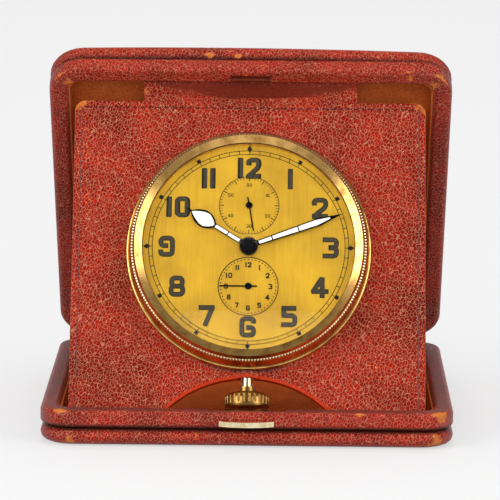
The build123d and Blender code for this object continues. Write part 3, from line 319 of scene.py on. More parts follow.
    # Rubbed where the surface turns between two faces, and most at the corners that hands wear
    flat_xy = node(tree, "ShaderNodeMath", {0: sides.outputs[0], 1: sides.outputs[1]}, operation="MAXIMUM")
    flat = node(tree, "ShaderNodeMath", {0: flat_xy.outputs[0], 1: sides.outputs[2]}, operation="MAXIMUM")
    worn = node(
        tree,
        "ShaderNodeMapRange",
        {"Value": flat.outputs[0], "From Min": 0.97, "From Max": 0.72, "To Max": edge_wear},
    ).outputs[0]
    for spot, reach in rubbed:
        away = node(tree, "ShaderNodeVectorMath", {0: place, 1: spot}, operation="DISTANCE")
        close = node(
            tree,
            "ShaderNodeMapRange",
            {"Value": away.outputs["Value"], "From Min": reach * MM, "From Max": 0.0},
        )
        worn = node(tree, "ShaderNodeMath", {0: worn, 1: close.outputs[0]}, operation="ADD").outputs[0]
    rub = node(
        tree,
        "ShaderNodeTexNoise",
        {"Vector": place, "Scale": 1 / (rub_grit * MM), "Detail": 5.0, "Roughness": 0.7},
    )
    rubbing = node(tree, "ShaderNodeMath", {0: worn, 1: rub.outputs["Fac"]}, operation="MULTIPLY")
    bare = node(
        tree, "ShaderNodeMapRange", {"Value": rubbing.outputs[0], "From Min": 0.35, "From Max": 0.46}
    )
    finish = node(
        tree,
        "ShaderNodeMix",
        {FACTOR: bare.outputs[0], MIX_A: colour, MIX_B: paint(tones["worn"])},
        data_type="RGBA",
    )
    tree.links.new(finish.outputs[MIXED], surface.inputs["Base Color"])
    tree.links.new(relief.outputs[0], surface.inputs["Normal"])
    surface.inputs["Roughness"].default_value = roughness
    surface.inputs["IOR"].default_value = 1.45
    surface.inputs["Specular IOR Level"].default_value = shine
    return material


def plated_metal(name, main, stain, rough_low, rough_high, stain_size):
    """Turned and polished metal: bright, with faint cloudy tarnish."""
    material, tree, surface = new_material(name)
    place = node(tree, "ShaderNodeTexCoord", {})
    cloud = node(
        tree,
        "ShaderNodeTexNoise",
        {"Vector": place.outputs["Object"], "Scale": 1 / (stain_size * MM), "Detail": 5.0},
    )
    share = node(
        tree, "ShaderNodeMapRange", {"Value": cloud.outputs["Fac"], "From Min": 0.45, "From Max": 0.75}
    )
    tint = node(
        tree,
        "ShaderNodeMix",
        {FACTOR: share.outputs[0], MIX_A: paint(main), MIX_B: paint(stain)},
        data_type="RGBA",
    )
    dull = node(
        tree,
        "ShaderNodeMapRange",
        {"Value": cloud.outputs["Fac"], "To Min": rough_low, "To Max": rough_high},
    )
    tree.links.new(tint.outputs[MIXED], surface.inputs["Base Color"])
    tree.links.new(dull.outputs[0], surface.inputs["Roughness"])
    surface.inputs["Metallic"].default_value = 1.0
    return material


def brushed_dial(name, main, deep):
    """Gilt brass sheet, brushed up and down: fine upright lines under a satin shine."""
    material, tree, surface = new_material(name)
    place = node(tree, "ShaderNodeTexCoord", {})
    streak = node(
        tree, "ShaderNodeMapping", {"Vector": place.outputs["Object"], "Scale": (1.0, 0.03, 0.03)}
    )
    lines = node(
        tree,
        "ShaderNodeTexNoise",
        {"Vector": streak.outputs[0], "Scale": 1 / (0.3 * MM), "Detail": 3.0, "Roughness": 0.7},
    )
    age = node(
        tree,
        "ShaderNodeTexNoise",
        {"Vector": place.outputs["Object"], "Scale": 1 / (9 * MM), "Detail": 3.0},
    )
    both = node(
        tree,
        "ShaderNodeMath",
        {0: lines.outputs["Fac"], 1: 0.6, 2: age.outputs["Fac"]},
        operation="MULTIPLY_ADD",
    )
    share = node(
        tree, "ShaderNodeMapRange", {"Value": both.outputs[0], "From Min": 0.55, "From Max": 1.05}
    )
    tint = node(
        tree,
        "ShaderNodeMix",
        {FACTOR: share.outputs[0], MIX_A: paint(main), MIX_B: paint(deep)},
        data_type="RGBA",
    )
    relief = node(
        tree, "ShaderNodeBump", {"Height": lines.outputs["Fac"], "Distance": 0.02 * MM, "Strength": 0.4}
    )
    tree.links.new(tint.outputs[MIXED], surface.inputs["Base Color"])
    tree.links.new(relief.outputs[0], surface.inputs["Normal"])
    surface.inputs["Metallic"].default_value = 0.3
    surface.inputs["Roughness"].default_value = 0.45
    return material


def speckled(name, main, second, grit, roughness, relief_depth):
    """A plain dull surface with a fine uneven grit: print, lume, thread or card."""
    material, tree, surface = new_material(name)
    place = node(tree, "ShaderNodeTexCoord", {})
    grains = node(
        tree,
        "ShaderNodeTexNoise",
        {"Vector": place.outputs["Object"], "Scale": 1 / (grit * MM), "Detail": 3.0},
    )
    tint = node(
        tree,
        "ShaderNodeMix",
        {FACTOR: grains.outputs["Fac"], MIX_A: paint(main), MIX_B: paint(second)},
        data_type="RGBA",
    )
    relief = node(
        tree, "ShaderNodeBump", {"Height": grains.outputs["Fac"], "Distance": relief_depth * MM}
    )
    tree.links.new(tint.outputs[MIXED], surface.inputs["Base Color"])
    tree.links.new(relief.outputs[0], surface.inputs["Normal"])
    surface.inputs["Roughness"].default_value = roughness
    surface.inputs["Specular IOR Level"].default_value = 0.12  # dry, so hardly any shine
    return material


def clear_crystal(name):
    """Moulded acrylic crystal: clear, with a faint uneven polish, and lamps shine through it."""
    material, tree, surface = new_material(name)
    place = node(tree, "ShaderNodeTexCoord", {})
    haze = node(tree, "ShaderNodeTexNoise", {"Vector": place.outputs["Object"], "Scale": 1 / (6 * MM)})
    polish = node(
        tree, "ShaderNodeMapRange", {"Value": haze.outputs["Fac"], "To Min": 0.0, "To Max": 0.03}
    )
    tree.links.new(polish.outputs[0], surface.inputs["Roughness"])
    surface.inputs["Transmission Weight"].default_value = 1.0
    surface.inputs["IOR"].default_value = 1.2  # low for acrylic, because the photograph shows no glare
    ray = node(tree, "ShaderNodeLightPath", {})
    through = node(tree, "ShaderNodeBsdfTransparent", {})
    lit = node(
        tree,
        "ShaderNodeMixShader",
        {0: ray.outputs["Is Shadow Ray"], 1: surface.outputs[0], 2: through.outputs[0]},
    )
    tree.links.new(lit.outputs[0], tree.nodes["Material Output"].inputs["Surface"])
    return material


def studio_paper(name, grey, glow):
    """Matt white paper: even and pale to the eye, with the clock's shadow left on it."""
    material, tree, surface = new_material(name)
    ray = node(tree, "ShaderNodeLightPath", {})
    mirrored = node(
        tree,
        "ShaderNodeMath",
        {0: ray.outputs["Is Glossy Ray"], 1: ray.outputs["Is Transmission Ray"]},
        operation="MAXIMUM",
    )
    seen = node(
        tree,
        "ShaderNodeMath",
        {0: ray.outputs["Is Camera Ray"], 1: mirrored.outputs[0]},
        operation="MAXIMUM",
    )
    lift = node(tree, "ShaderNodeMath", {0: seen.outputs[0], 1: glow}, operation="MULTIPLY")
    tree.links.new(lift.outputs[0], surface.inputs["Emission Strength"])
    surface.inputs["Emission Color"].default_value = paint("#ffffff")
    surface.inputs["Base Color"].default_value = paint(grey)
    surface.inputs["Roughness"].default_value = 0.9
    return material


# Tones: side is a painted sheen on faces turned left and right; grain is the furrows' paler tone, partly a painted
# sheen on the grain
red = {"main": "#ad1d06", "dark": "#6f0802", "grain": "#c98a66", "side": "#7b4a4e", "worn": "#cf7430"}
tan = {"main": "#e0722f", "dark": "#bb5824", "grain": "#d9834a", "side": "#b85a28", "worn": "#a8521f"}
tray_red = {**red, "grain": "#c88262"}
# Tone of the painted shade in the groove between each tray's rim and its cover
groove_shade_tone = "#2e120c"

# Worn spots: a place in millimetres, and how far the rubbing reaches
base_rubs = [
    (Vector(place) * MM, reach)
    for place, reach in (
        ((44.0, -45.5, 8.0), 3.6),
        ((43.0, -46.5, 1.4), 3.4),
        ((-42.0, -45.5, 8.2), 2.4),
        ((-40.0, -46.5, 1.8), 2.4),
        ((-11.5, -46.7, 2.4), 1.4),
        ((25.5, -46.5, 7.8), 1.6),
    )
]
rim_x = case_width / 2 - tray_wall
rim_y = tray_depth - tray_wall
back_rubs = [
    (back_tray @ Vector(place), reach)
    for place, reach in (
        ((-rim_x, rim_y, 0.0), 4.0),
        ((rim_x, rim_y, 0.0), 4.5),
        ((37.0, 91.5, 0.0), 3.0),
        ((-9.5, 93.0, -5.2), 1.8),
        ((-3.0, 93.0, -5.2), 1.4),
        ((-1.2, 91.8, -0.3), 1.6),
        ((-42.0, 88.0, -6.0), 4.0),
    )
]
corner_inset = 0.6
corner_x = panel_width / 2 - corner_inset
corner_y = panel_top - corner_inset
panel_rubs = [
    (clock @ Vector(place), reach)
    for place, reach in (
        ((-corner_x, corner_y, 0.0), 7.5),
        ((corner_x, corner_y, 0.0), 6.5),
        ((-strap_width / 2, panel_top + 2.5, -0.8), 3.4),
    )
]
arch_middle = clock @ Vector((0.0, arch_top - arch_radius, 0.0))
# Rings on the panel: a painted shadow under the bezel, and the arch's burnished edge
bezel_shadow_and_arch_edge_bands = [
    (clock @ Vector((0.0, -6.0, 0.0)), 22.4, 23.2, "#332d2b", 0.75),  # painted shadow cast by the bezel on the leather below it
    (arch_middle, arch_radius + 0.5, arch_radius + 0.9, "#bf3310", 0.9),  # arch's burnished edge
]

# Calf printed with a pebble grain: red with a low shine, darker with dirt on the base tray's tops, and with
# painted shade along each groove
leather = grained_leather(
    "red_calf_leather",
    tray_red,
    shine=handled_shine,
    soil="#4f3434",
    groove_shade=groove_shade_tone,
    rubbed=base_rubs,
)
back_leather = grained_leather(
    "red_calf_leather_back",
    tray_red,
    shine=handled_shine,
    lean=-pi / 2 - tray_lean,
    groove_shade=groove_shade_tone,
    rubbed=back_rubs,
)
panel_calf = grained_leather(
    "red_calf_leather_panel",
    red,
    lean=panel_lean,
    under="#b83c1c",
    bands=bezel_shadow_and_arch_edge_bands,
    rubbed=panel_rubs,
)
# The strap's faces turned down are a darker brown
strap_calf = grained_leather(
    "red_calf_leather_strap", red, lean=panel_lean, under="#71210d", rubbed=panel_rubs
)
# Split skin, dyed tan and left unpolished: even, soft and almost matt
lining = grained_leather("tan_skiver_lining", tan, pebble=0.7, roughness=0.6)
# Brass, turned, polished and gilded: a warm mirror with faint tarnish
gilt = plated_metal("polished_gilt_brass", "#e2b468", "#a8713a", 0.12, 0.32, 3.0)
# Gilding worn by fingers: browner and duller
worn_gilt = plated_metal("finger_worn_gilt", "#a98146", "#735129", 0.2, 0.4, 1.5)
# Gilding rubbed thin by use: pale, bright, close to silver
pale_gilt = plated_metal("rubbed_pale_gilt", "#efe3bd", "#cdb27a", 0.14, 0.3, 2.0)
# Copper browned by age: a dull red-brown sheen
browned_copper = plated_metal("browned_copper", "#8a4430", "#6a3020", 0.35, 0.55, 1.5)
dial_gilt = brushed_dial("brushed_gilt_dial", "#d8aa1c", "#b38712")
# Brass with a satin finish: soft, even yellow shine
movement_brass = plated_metal("satin_movement_brass", "#d8b266", "#a97f3c", 0.28, 0.45, 2.0)
# Ground and polished steel: a cool grey mirror
steel = plated_metal("polished_steel", "#c9c8c4", "#8d8c88", 0.18, 0.36, 2.0)
# Steel stoved with black varnish: deep black with small bright glints
dark_steel = plated_metal("black_japanned_steel", "#17161a", "#050506", 0.2, 0.4, 1.0)
# Pressed board: dull, grey and fibrous
card = speckled("grey_board", "#8a7a60", "#6d5f49", 0.6, 0.9, 0.05)
crystal = clear_crystal("clear_acrylic_crystal")
# Printed ink: flat black
ink = speckled("black_dial_ink", "#15130f", "#262119", 0.3, 0.55, 0.01)
# Ink that fills the numbers, dried out: flat olive grey
grey_ink = speckled("grey_dial_ink", "#454031", "#322f25", 0.3, 0.6, 0.01)
# Paste spread by hand: chalky, close to white
lume = speckled("ivory_lume_paste", "#fbfaf3", "#ece8d8", 0.25, 0.7, 0.03)
# Twisted linen thread, waxed: dull dark brown, and paler where it has faded
thread = speckled("waxed_brown_thread", "#55292b", "#371718", 0.15, 0.6, 0.06)
pale_thread = speckled("faded_thread", "#7d5654", "#5c3a3a", 0.15, 0.6, 0.06)
paper_white = studio_paper("matt_white_paper", "#9b9b9b", 0.55)

by_slot = {
    "red_leather": leather,
    "lining_leather": lining,
    "board": card,
    "gilt_brass": gilt,
    "dial_gilt": dial_gilt,
    "glass": crystal,
    "blued_steel": dark_steel,
    "movement_brass": movement_brass,
    "steel": steel,
}
by_node = {
    "back_rim": back_leather,
    "panel_leather": panel_calf,
    "clasp_thumb_piece": pale_gilt,
    "crown": worn_gilt,
    "clasp_striker": browned_copper,
    "pendant_tube": pale_gilt,
}
for row in frame["record"]["subparts"]:
    slots = frame["nodes"][row["node"]].data.materials
    slots.clear()
    slots.append(by_node.get(row["node"], by_slot[row["material_slot"]]))


# Mesh building
def make_piece(name, points, faces, material, body):
    """A closed mesh that rides on a body."""
    mesh = bpy.data.meshes.new(name)
    mesh.from_pydata([tuple(point) for point in points], [], faces)
    shape = bmesh.new()
    shape.from_mesh(mesh)
    bmesh.ops.recalc_face_normals(shape, faces=shape.faces)
    shape.to_mesh(mesh)
    shape.free()
    mesh.shade_smooth()
    mesh.set_sharp_from_angle(angle=radians(40))
    mesh.materials.append(material)
    piece = bpy.data.objects.new(name, mesh)
    bpy.context.scene.collection.objects.link(piece)
    if body:
        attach(piece, body)
    return piece


def skin_faces(rings, count, first=0, wrap=False):
    """Quads between neighbouring closed rings of equal count."""
    faces = []
    for ring in range(rings if wrap else rings - 1):
        low = first + ring * count
        high = first + (ring + 1) % rings * count
        for i in range(count):
            j = (i + 1) % count
            faces.append((low + i, low + j, high + j, high + i))
    return faces


def rounded_loop(half_x, half_y, corner, middle, side_points=20, corner_points=7):
    """Points round a rounded rectangle, evenly along its sides and corners."""
    loop = []
    quarter = pi / 2
    for turn, (sx, sy) in enumerate(((1, 1), (-1, 1), (-1, -1), (1, -1))):
        centre = Vector((sx * (half_x - corner), sy * (half_y - corner) + middle))
        for i in range(corner_points + 1):
            angle = turn * quarter + quarter * i / corner_points
            loop.append(centre + corner * Vector((cos(angle), sin(angle))))
        after = (turn + 1) * quarter
        nx, ny = ((-1, 1), (-1, -1), (1, -1), (1, 1))[turn]
        target = Vector((nx * (half_x - corner), ny * (half_y - corner) + middle))
        target += corner * Vector((cos(after), sin(after)))
        begin = loop[-1]
        for i in range(1, side_points):
            loop.append(begin.lerp(target, i / side_points))
    return loop


# Padded cover's roll: inset from the case's edge, and drop below the groove
cover_roll = [
    (tray_wall, 0.0),
    (2.6, 0.02),
    (1.5, 0.3),
    (0.75, 0.75),
    (0.25, 1.3),
    (0.0, 2.0),
    (0.1, 2.6),
    (0.4, 3.2),
    (1.0, 3.72),
    (1.9, 4.06),
    (3.0, 4.22),
    (4.4, 4.28),
]
cover_insets = (7, 11, 16, 22, 29, 37, 43)
least_corner = 1.5
bow_fullness = 0.65
bow_shift = 0.15  # the opening edge is fullest a little to one side


def padded_cover(name, tray, body, crown, bow, material, replaced):
    """Stuffed leather cover: a rounded roll along the groove, a crowned outside, a bowed opening edge."""
    rings = [(tray_wall, pocket_level)]
    rings += [(inset, groove_level - drop) for inset, drop in cover_roll]
    reach = case_width / 2 - tray_wall
    for inset in cover_insets:
        rise = 1 - (1 - (inset - tray_wall) / reach) ** 2
        rings.append((inset, -tray_height - crown * rise))
    length = tray_depth - spine_gap
    points = []
    for inset, level in rings:
        corner = max(tray_corner - inset, least_corner)
        loop = rounded_loop(
            case_width / 2 - inset, length / 2 - inset, corner, spine_gap + length / 2
        )
        count = len(loop)
        for x, y in loop:
            fullness = bow_fullness - (2 * x / case_width + bow_shift) ** 2
            ahead = max(y / tray_depth - 0.5, 0.0) * 2
            points.append(tray @ Vector((x, y + bow * fullness * ahead**4, level)))
    faces = skin_faces(len(rings), count)
    faces.append(tuple(range(count)))
    faces.append(tuple(range(len(points) - count, len(points))))
    cover = make_piece(name, points, faces, material, body)
    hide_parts(replaced)


def thick_sheet(name, grid, thickness, material, body=None):
    """Leather of one thickness through a grid of points, closed along its edges."""
    rows, columns = len(grid), len(grid[0])
    upper, lower = [], []
    for i in range(rows):
        for j in range(columns):
            along = grid[min(i + 1, rows - 1)][j] - grid[max(i - 1, 0)][j]
            across = grid[i][min(j + 1, columns - 1)] - grid[i][max(j - 1, 0)]
            normal = along.cross(across).normalized() * thickness / 2 * MM
            upper.append(grid[i][j] + normal)
            lower.append(grid[i][j] - normal)
    size = rows * columns
    faces = []
    for i in range(rows - 1):
        for j in range(columns - 1):
            a = i * columns + j
            b = a + columns
            faces.append((a, a + 1, b + 1, b))
            faces.append((size + a, size + b, size + b + 1, size + a + 1))
    border = list(range(columns))
    border += [i * columns + columns - 1 for i in range(1, rows)]
    border += [(rows - 1) * columns + j for j in range(columns - 2, -1, -1)]
    border += [i * columns for i in range(rows - 2, 0, -1)]
    for a, b in zip(border, border[1:] + border[:1]):
        faces.append((a, b, size + b, size + a))
    return make_piece(name, upper + lower, faces, material, body)


def curve_through(controls, steps):
    """Points on a smooth line through control points, evenly shared among them."""
    ends = [controls[0] * 2 - controls[1], *controls, controls[-1] * 2 - controls[-2]]
    line = []
    spans = len(controls) - 1
    for step in range(steps + 1):
        place = spans * step / steps
        span = min(int(place), spans - 1)
        t = place - span
        a, b, c, d = ends[span : span + 4]
        bend = (2 * a - 5 * b + 4 * c - d) * t**2 + (3 * b - a - 3 * c + d) * t**3
        line.append(0.5 * (2 * b + (c - a) * t + bend))
    return line


padded_cover(
    "base_padded_cover",
    base_tray,
    "base_tray",
    crown=0.0,
    bow=0.0,
    material=leather,
    replaced="base_cover",
)
padded_cover(
    "back_padded_cover",
    back_tray,
    "back_tray",
    crown=0.5,
    bow=0.9,
    material=back_leather,
    replaced="back_cover",
)

# Leather spine, one strip down both trays' ends and round the hinge line
spine_half = 35.0
spine_thickness = 0.4
spine_depth = 0.28  # strip's middle, in from the trays' ends
spine_bend = 0.12  # the same at the hinge line
spine_columns = 36
spine_steps = 24
ripple_height = 0.06
ripple_length = 6.0
spine_grid = []
for column in range(spine_columns + 1):
    x = spine_half * (2 * column / spine_columns - 1)
    ripple = ripple_height * noise.noise(Vector((x / ripple_length, 3.1, 0.0)))
    leaf = [(spine_depth, -4.8), (spine_depth, -2.4), (spine_depth - 0.02 + ripple, -0.7)]
    # The base tray's frame has x to the left
    strip = [base_tray @ Vector((-x, depth, level)) for depth, level in leaf]
    strip.append(hinge_line + Vector((x, spine_bend + ripple, 0.0)) * MM)
    strip += [back_tray @ Vector((x, depth, level)) for depth, level in reversed(leaf)]
    spine_grid.append(curve_through(strip, spine_steps))
spine = thick_sheet("leather_spine", spine_grid, spine_thickness, leather)
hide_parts("spine_leaf_base", "spine_leaf_back")
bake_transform(spine)

# Strap from the panel's top edge into the back tray, slack in its middle
strap_thickness = 0.8
strap_columns = 44
strap_steps = 30
slack_middle = 0.08  # this and the next are shares of half the strap's width
slack_half = 0.15
# Paths of the tight sides and the slack middle, up the panel and out of it
taut = [(34.9, -1.0), (36.2, -0.9), (38.2, -0.75), (40.0, -0.65)]
slack = [(34.9, -1.0), (36.3, -0.9), (37.0, -1.5), (36.9, -2.6)]
tail_levels = (-1.7, -3.2, -4.9)
strap_grid = []
for column in range(strap_columns + 1):
    share = 2 * column / strap_columns - 1
    x = strap_width / 2 * share
    beyond = (abs(share - slack_middle) - slack_half) / (1 + slack_middle - slack_half)
    tight = min(max(beyond, 0.0), 1.0) ** 1.3
    path = []
    for (taut_y, taut_z), (slack_y, slack_z) in zip(taut, slack):
        y = slack_y + (taut_y - slack_y) * tight
        path.append(clock @ Vector((x, y, slack_z + (taut_z - slack_z) * tight)))
    path += [back_tray @ Vector((x, strap_tail_y, level)) for level in tail_levels]
    strap_grid.append(curve_through(path, strap_steps))
strap = thick_sheet("hanging_strap", strap_grid, strap_thickness, strap_calf)
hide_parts("strap_anchor", "strap_flap")
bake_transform(strap)

# Panel's leather, carried over the pendant tube between the bezel and the arch
saddle_half = 2.6
saddle_thickness = 0.4
saddle_level = 0.2
saddle_rise = 1.06
saddle_columns = 20
saddle_grid = []
for y in (-28.36, -28.9, -29.45, arch_top):
    row = []
    for column in range(saddle_columns + 1):
        x = saddle_half * (2 * column / saddle_columns - 1)
        hump = 0.5 + 0.5 * cos(pi * x / saddle_half)
        row.append(clock @ Vector((x, y, saddle_level + saddle_rise * hump)))
    saddle_grid.append(row)
thick_sheet("pendant_saddle", saddle_grid, saddle_thickness, panel_calf, "panel")


# Saddle stitching round the panel
def stitch(points, faces, begin, finish, radius):
    """One stitch of waxed thread, pulled down at both ends."""
    sides, rings = 8, 7
    along = finish - begin
    beside = along.cross(Vector((0, 0, 1))).normalized() * radius
    first = len(points)
    for ring in range(rings):
        share = ring / (rings - 1)
        swell = max(sin(pi * share), 0.0) ** 0.5 * 0.9 + 0.1
        for side in range(sides):
            angle = 2 * pi * side / sides
            offset = beside * cos(angle) * swell + Vector((0, 0, radius)) * sin(angle) * swell
            drop = Vector((0, 0, -radius * (1 - swell)))
            points.append(begin + along * share + offset + drop)
    faces += skin_faces(rings, sides, first)
    faces.append(tuple(range(first, first + sides)))
    faces.append(tuple(range(first + (rings - 1) * sides, first + rings * sides)))


seam_inset = 1.6
seam_level = 0.04
corner_gap = 0.6
stitch_pitch = 1.8
thread_radius = 0.15
seam_x = panel_width / 2 - seam_inset
seam_top = panel_top - seam_inset
seam_foot = panel_foot + 2.0
left_seam = (Vector((-seam_x, seam_foot, seam_level)), Vector((-seam_x, seam_top, seam_level)))
right_seam = (Vector((seam_x, seam_top, seam_level)), Vector((seam_x, seam_foot, seam_level)))
top_seam = (
    Vector((-seam_x + corner_gap, seam_top, seam_level)),
    Vector((seam_x - corner_gap, seam_top, seam_level)),
)
for name, colour, share, seams in (
    ("panel_side_stitching", pale_thread, 0.95, (left_seam, right_seam)),
    ("panel_top_stitching", thread, 0.75, (top_seam,)),
):
    points, faces = [], []
    for begin, finish in seams:
        run = finish - begin
        count = int(run.length / stitch_pitch)
        step = run / count
        for i in range(count):
            start = begin + step * i
            stitch(points, faces, start, start + step * share, thread_radius)
    make_piece(name, [clock @ p for p in points], faces, colour, "panel")

# Coin edge: a ring of upright reeds round the bezel, drawn coarser than the real ones so that they show
reeds = 240
reed_steps = 6
reed_depth = 0.3
reed_root = 26.7  # inside this radius the ring is plain
reed_section = ((26.6, 3.7), (27.1, 3.85), (27.25, 4.3), (27.05, 4.75), (26.5, 4.95))
coin_points = []
for step in range(reeds * reed_steps):
    angle = 2 * pi * step / (reeds * reed_steps)
    swell = abs(cos(pi * step / reed_steps))
    for radius, level in reed_section:
        reach = radius - reed_depth * swell * (radius > reed_root)
        coin_points.append(clock @ Vector((reach * cos(angle), reach * sin(angle), level)))
make_piece(
    "bezel_coin_edge",
    coin_points,
    skin_faces(reeds * reed_steps, len(reed_section), wrap=True),
    pale_gilt,
    "panel",
)


# Printing on the dial
def prism(points, faces, outline, low, high):
    """A flat printed shape of a little thickness."""
    first, count = len(points), len(outline)
    points += [Vector((x, y, low)) for x, y in outline]
    points += [Vector((x, y, high)) for x, y in outline]
    faces += skin_faces(2, count, first)
    faces.append(tuple(range(first, first + count)))
    faces.append(tuple(range(first + count, first + 2 * count)))


def ribbon(points, faces, path, half, low, high, closed=False):
    """A printed stroke of one width along a path."""
    first, count = len(points), len(path)
    for i, point in enumerate(path):
        ahead = path[(i + 1) % count] if closed or i + 1 < count else point
        behind = path[i - 1] if closed or i else point
        along = (ahead - behind).normalized()
        side = Vector((-along.y, along.x)) * half
        for edge, level in ((side, low), (-side, low), (-side, high), (side, high)):
            points.append(Vector((*(point + edge), level)))
    faces += skin_faces(count, 4, first, wrap=closed)
    if not closed:
        last = first + 4 * (count - 1)
        faces.append(tuple(range(first, first + 4)))
        faces.append(tuple(range(last, last + 4)))


def ring_print(points, faces, centre, radius, half, low, high, segments=120):
    """A printed circle."""
    path = [dial_place(360 * i / segments, radius, centre) for i in range(segments)]
    ribbon(points, faces, path, half, low, high, closed=True)


def dial_place(angle, radius, centre=(0.0, 0.0)):
    """Place on the dial at degrees clockwise from 12."""
    turn = radians(angle)
    return Vector((centre[0] + radius * sin(turn), centre[1] + radius * cos(turn)))


def tick(points, faces, angle, inner, outer, half, low, high, centre=(0.0, 0.0)):
    """A radial mark."""
    turn = radians(angle)
    side = Vector((cos(turn), -sin(turn))) * half
    a, b = dial_place(angle, inner, centre), dial_place(angle, outer, centre)
    prism(points, faces, [a - side, b - side, b + side, a + side], low, high)


# Numbers as strokes in a box of one unit, with the closed ones marked by a repeated first point
strokes = {
    "0": [[(0, 0), (1, 0), (1, 1), (0, 1), (0, 0)]],
    "1": [[(0.5, 0), (0.5, 1)]],
    "2": [[(0, 0.8), (0, 1), (1, 1), (1, 0.58), (0.12, 0.08)], [(0, 0), (1, 0)]],
    "3": [[(0, 1), (1, 1), (1, 0.53), (0.5, 0.53)], [(0.5, 0.5), (1, 0.5), (1, 0), (0, 0)]],
    "4": [[(0.62, 0.98), (0, 0.3)], [(0, 0.26), (1.1, 0.26)], [(0.74, 1), (0.74, 0)]],
    "5": [[(0.92, 1), (0.05, 1)], [(0.05, 0.97), (0.05, 0.6)], [(0.1, 0.56), (1, 0.56), (1, 0), (0, 0)]],
    "6": [[(1, 0.84), (1, 1), (0, 1), (0, 0), (1, 0), (1, 0.46), (0.55, 0.46)]],
    "7": [[(0, 1), (1, 1)], [(0.93, 0.9), (0.42, 0)]],
    "8": [
        [(0.05, 0.5), (0.95, 0.5), (0.95, 1), (0.05, 1), (0.05, 0.5)],
        [(0, 0), (1, 0), (1, 0.5), (0, 0.5), (0, 0)],
    ],
    "9": [[(0, 0.16), (0, 0), (1, 0), (1, 1), (0, 1), (0, 0.54), (0.45, 0.54)]],
}
narrow = {"1": 0.0}  # share of the usual width


def rounded_path(corners, radius, closed):
    """A path with its corners eased."""
    path = []
    count = len(corners)
    for i, corner in enumerate(corners):
        if not closed and i in (0, count - 1):
            path.append(corner)
            continue
        before = corners[i - 1] - corner
        after = corners[(i + 1) % count] - corner
        start = corner + before * min(radius / before.length, 0.5)
        finish = corner + after * min(radius / after.length, 0.5)
        for step in range(7):
            share = step / 6
            path.append(start.lerp(corner, share).lerp(corner.lerp(finish, share), share))
    return path


def numeral(points, faces, text, centre, height, width, half, low, high):
    """A number in bold strokes with round corners."""
    gap = half * 1.5
    widths = [width * narrow.get(sign, 1.0) for sign in text]
    total = sum(widths) + (len(text) - 1) * (gap + 2 * half)
    x = centre[0] - total / 2
    for sign, wide in zip(text, widths):
        for line in strokes[sign]:
            closed = line[0] == line[-1]
            corners = [Vector((x + px * wide, centre[1] + (py - 0.5) * height)) for px, py in line]
            if closed:
                corners.pop()
            else:
                for end, inner in ((0, 1), (-1, -2)):
                    corners[end] += (corners[end] - corners[inner]).normalized() * half * 0.9
            path = rounded_path(corners, 0.32 * width, closed)
            ribbon(points, faces, path, half, low, high, closed)
        x += wide + gap + 2 * half


def print_on_dial(name, points, faces, material):
    """One printing of the dial as a piece on the panel."""
    make_piece(name, [clock @ p for p in points], faces, material, "panel")


print_sink = 0.01
print_height = 0.03
line_half = 0.08
print_low = dial_top - print_sink
print_high = dial_top + print_height
number_radius = 18.8
number_height = 3.85
single_width = 2.65
double_width = 2.3
for name, paste, half, low, high in (
    ("hour_numeral_edges", ink, 0.58, print_low, print_high),
    ("hour_numerals", grey_ink, 0.4, print_high - print_sink, print_high + 0.02),
):
    points, faces = [], []
    for hour in range(1, 13):
        spot = dial_place(30 * hour, number_radius)
        width = double_width if hour > 9 else single_width
        numeral(points, faces, str(hour), spot, number_height, width, half, low, high)
    print_on_dial(name, points, faces, paste)

track_inner, track_outer = 22.1, 22.95
mark_radius = 23.35
diamond_long, diamond_wide = 0.9, 0.6
square_half = 0.47
points, faces = [], []
for radius in (track_inner, track_outer):
    ring_print(points, faces, (0, 0), radius, line_half, print_low, print_high)
for minute in range(60):
    tick(points, faces, 6 * minute, track_inner, track_outer, line_half, print_low, print_high + 0.005)
for hour in range(12):
    spot = dial_place(30 * hour, mark_radius)
    along = dial_place(30 * hour, 1.0)
    across = Vector((along.y, -along.x))
    if hour % 3 == 0:
        first, second = along * diamond_long, across * diamond_wide
    else:
        first, second = (along + across) * square_half, (along - across) * square_half
    prism(points, faces, [spot + first, spot + second, spot - first, spot - second], print_low, print_high)
print_on_dial("minute_track", points, faces, ink)

sub_low = subdial_floor - print_sink
sub_high = subdial_floor + print_height
sub_radius = 6.85
points, faces = [], []
ring_print(points, faces, seconds_centre, sub_radius, 0.07, sub_low, sub_high)
for second in range(60):
    inner, half = (6.2, 0.06) if second % 5 else (5.8, 0.1)
    tick(points, faces, 6 * second, inner, 6.75, half, sub_low, sub_high, seconds_centre)
for second in range(10, 70, 10):
    spot = dial_place(6 * second, 4.9, seconds_centre)
    numeral(points, faces, str(second), spot, 0.62, 0.42, 0.07, sub_low, sub_high)
ring_print(points, faces, alarm_centre, sub_radius, 0.1, sub_low, sub_high)
dot_radius = 0.16
for quarter in range(48):
    spot = dial_place(7.5 * quarter, 6.35, alarm_centre)
    dot = [spot + dot_radius * Vector((cos(a * pi / 4), sin(a * pi / 4))) for a in range(8)]
    prism(points, faces, dot, sub_low, sub_high)
for hour in range(1, 13):
    spot = dial_place(30 * hour, 5.1, alarm_centre)
    numeral(points, faces, str(hour), spot, 0.95, 0.62, 0.15, sub_low, sub_high)
print_on_dial("subdial_printing", points, faces, ink)


# Lume on the hands
def on_hand(angle):
    """Frame along a hand: x across it and y towards its tip."""
    return clock @ Matrix.Rotation(-radians(angle), 4, "Z")


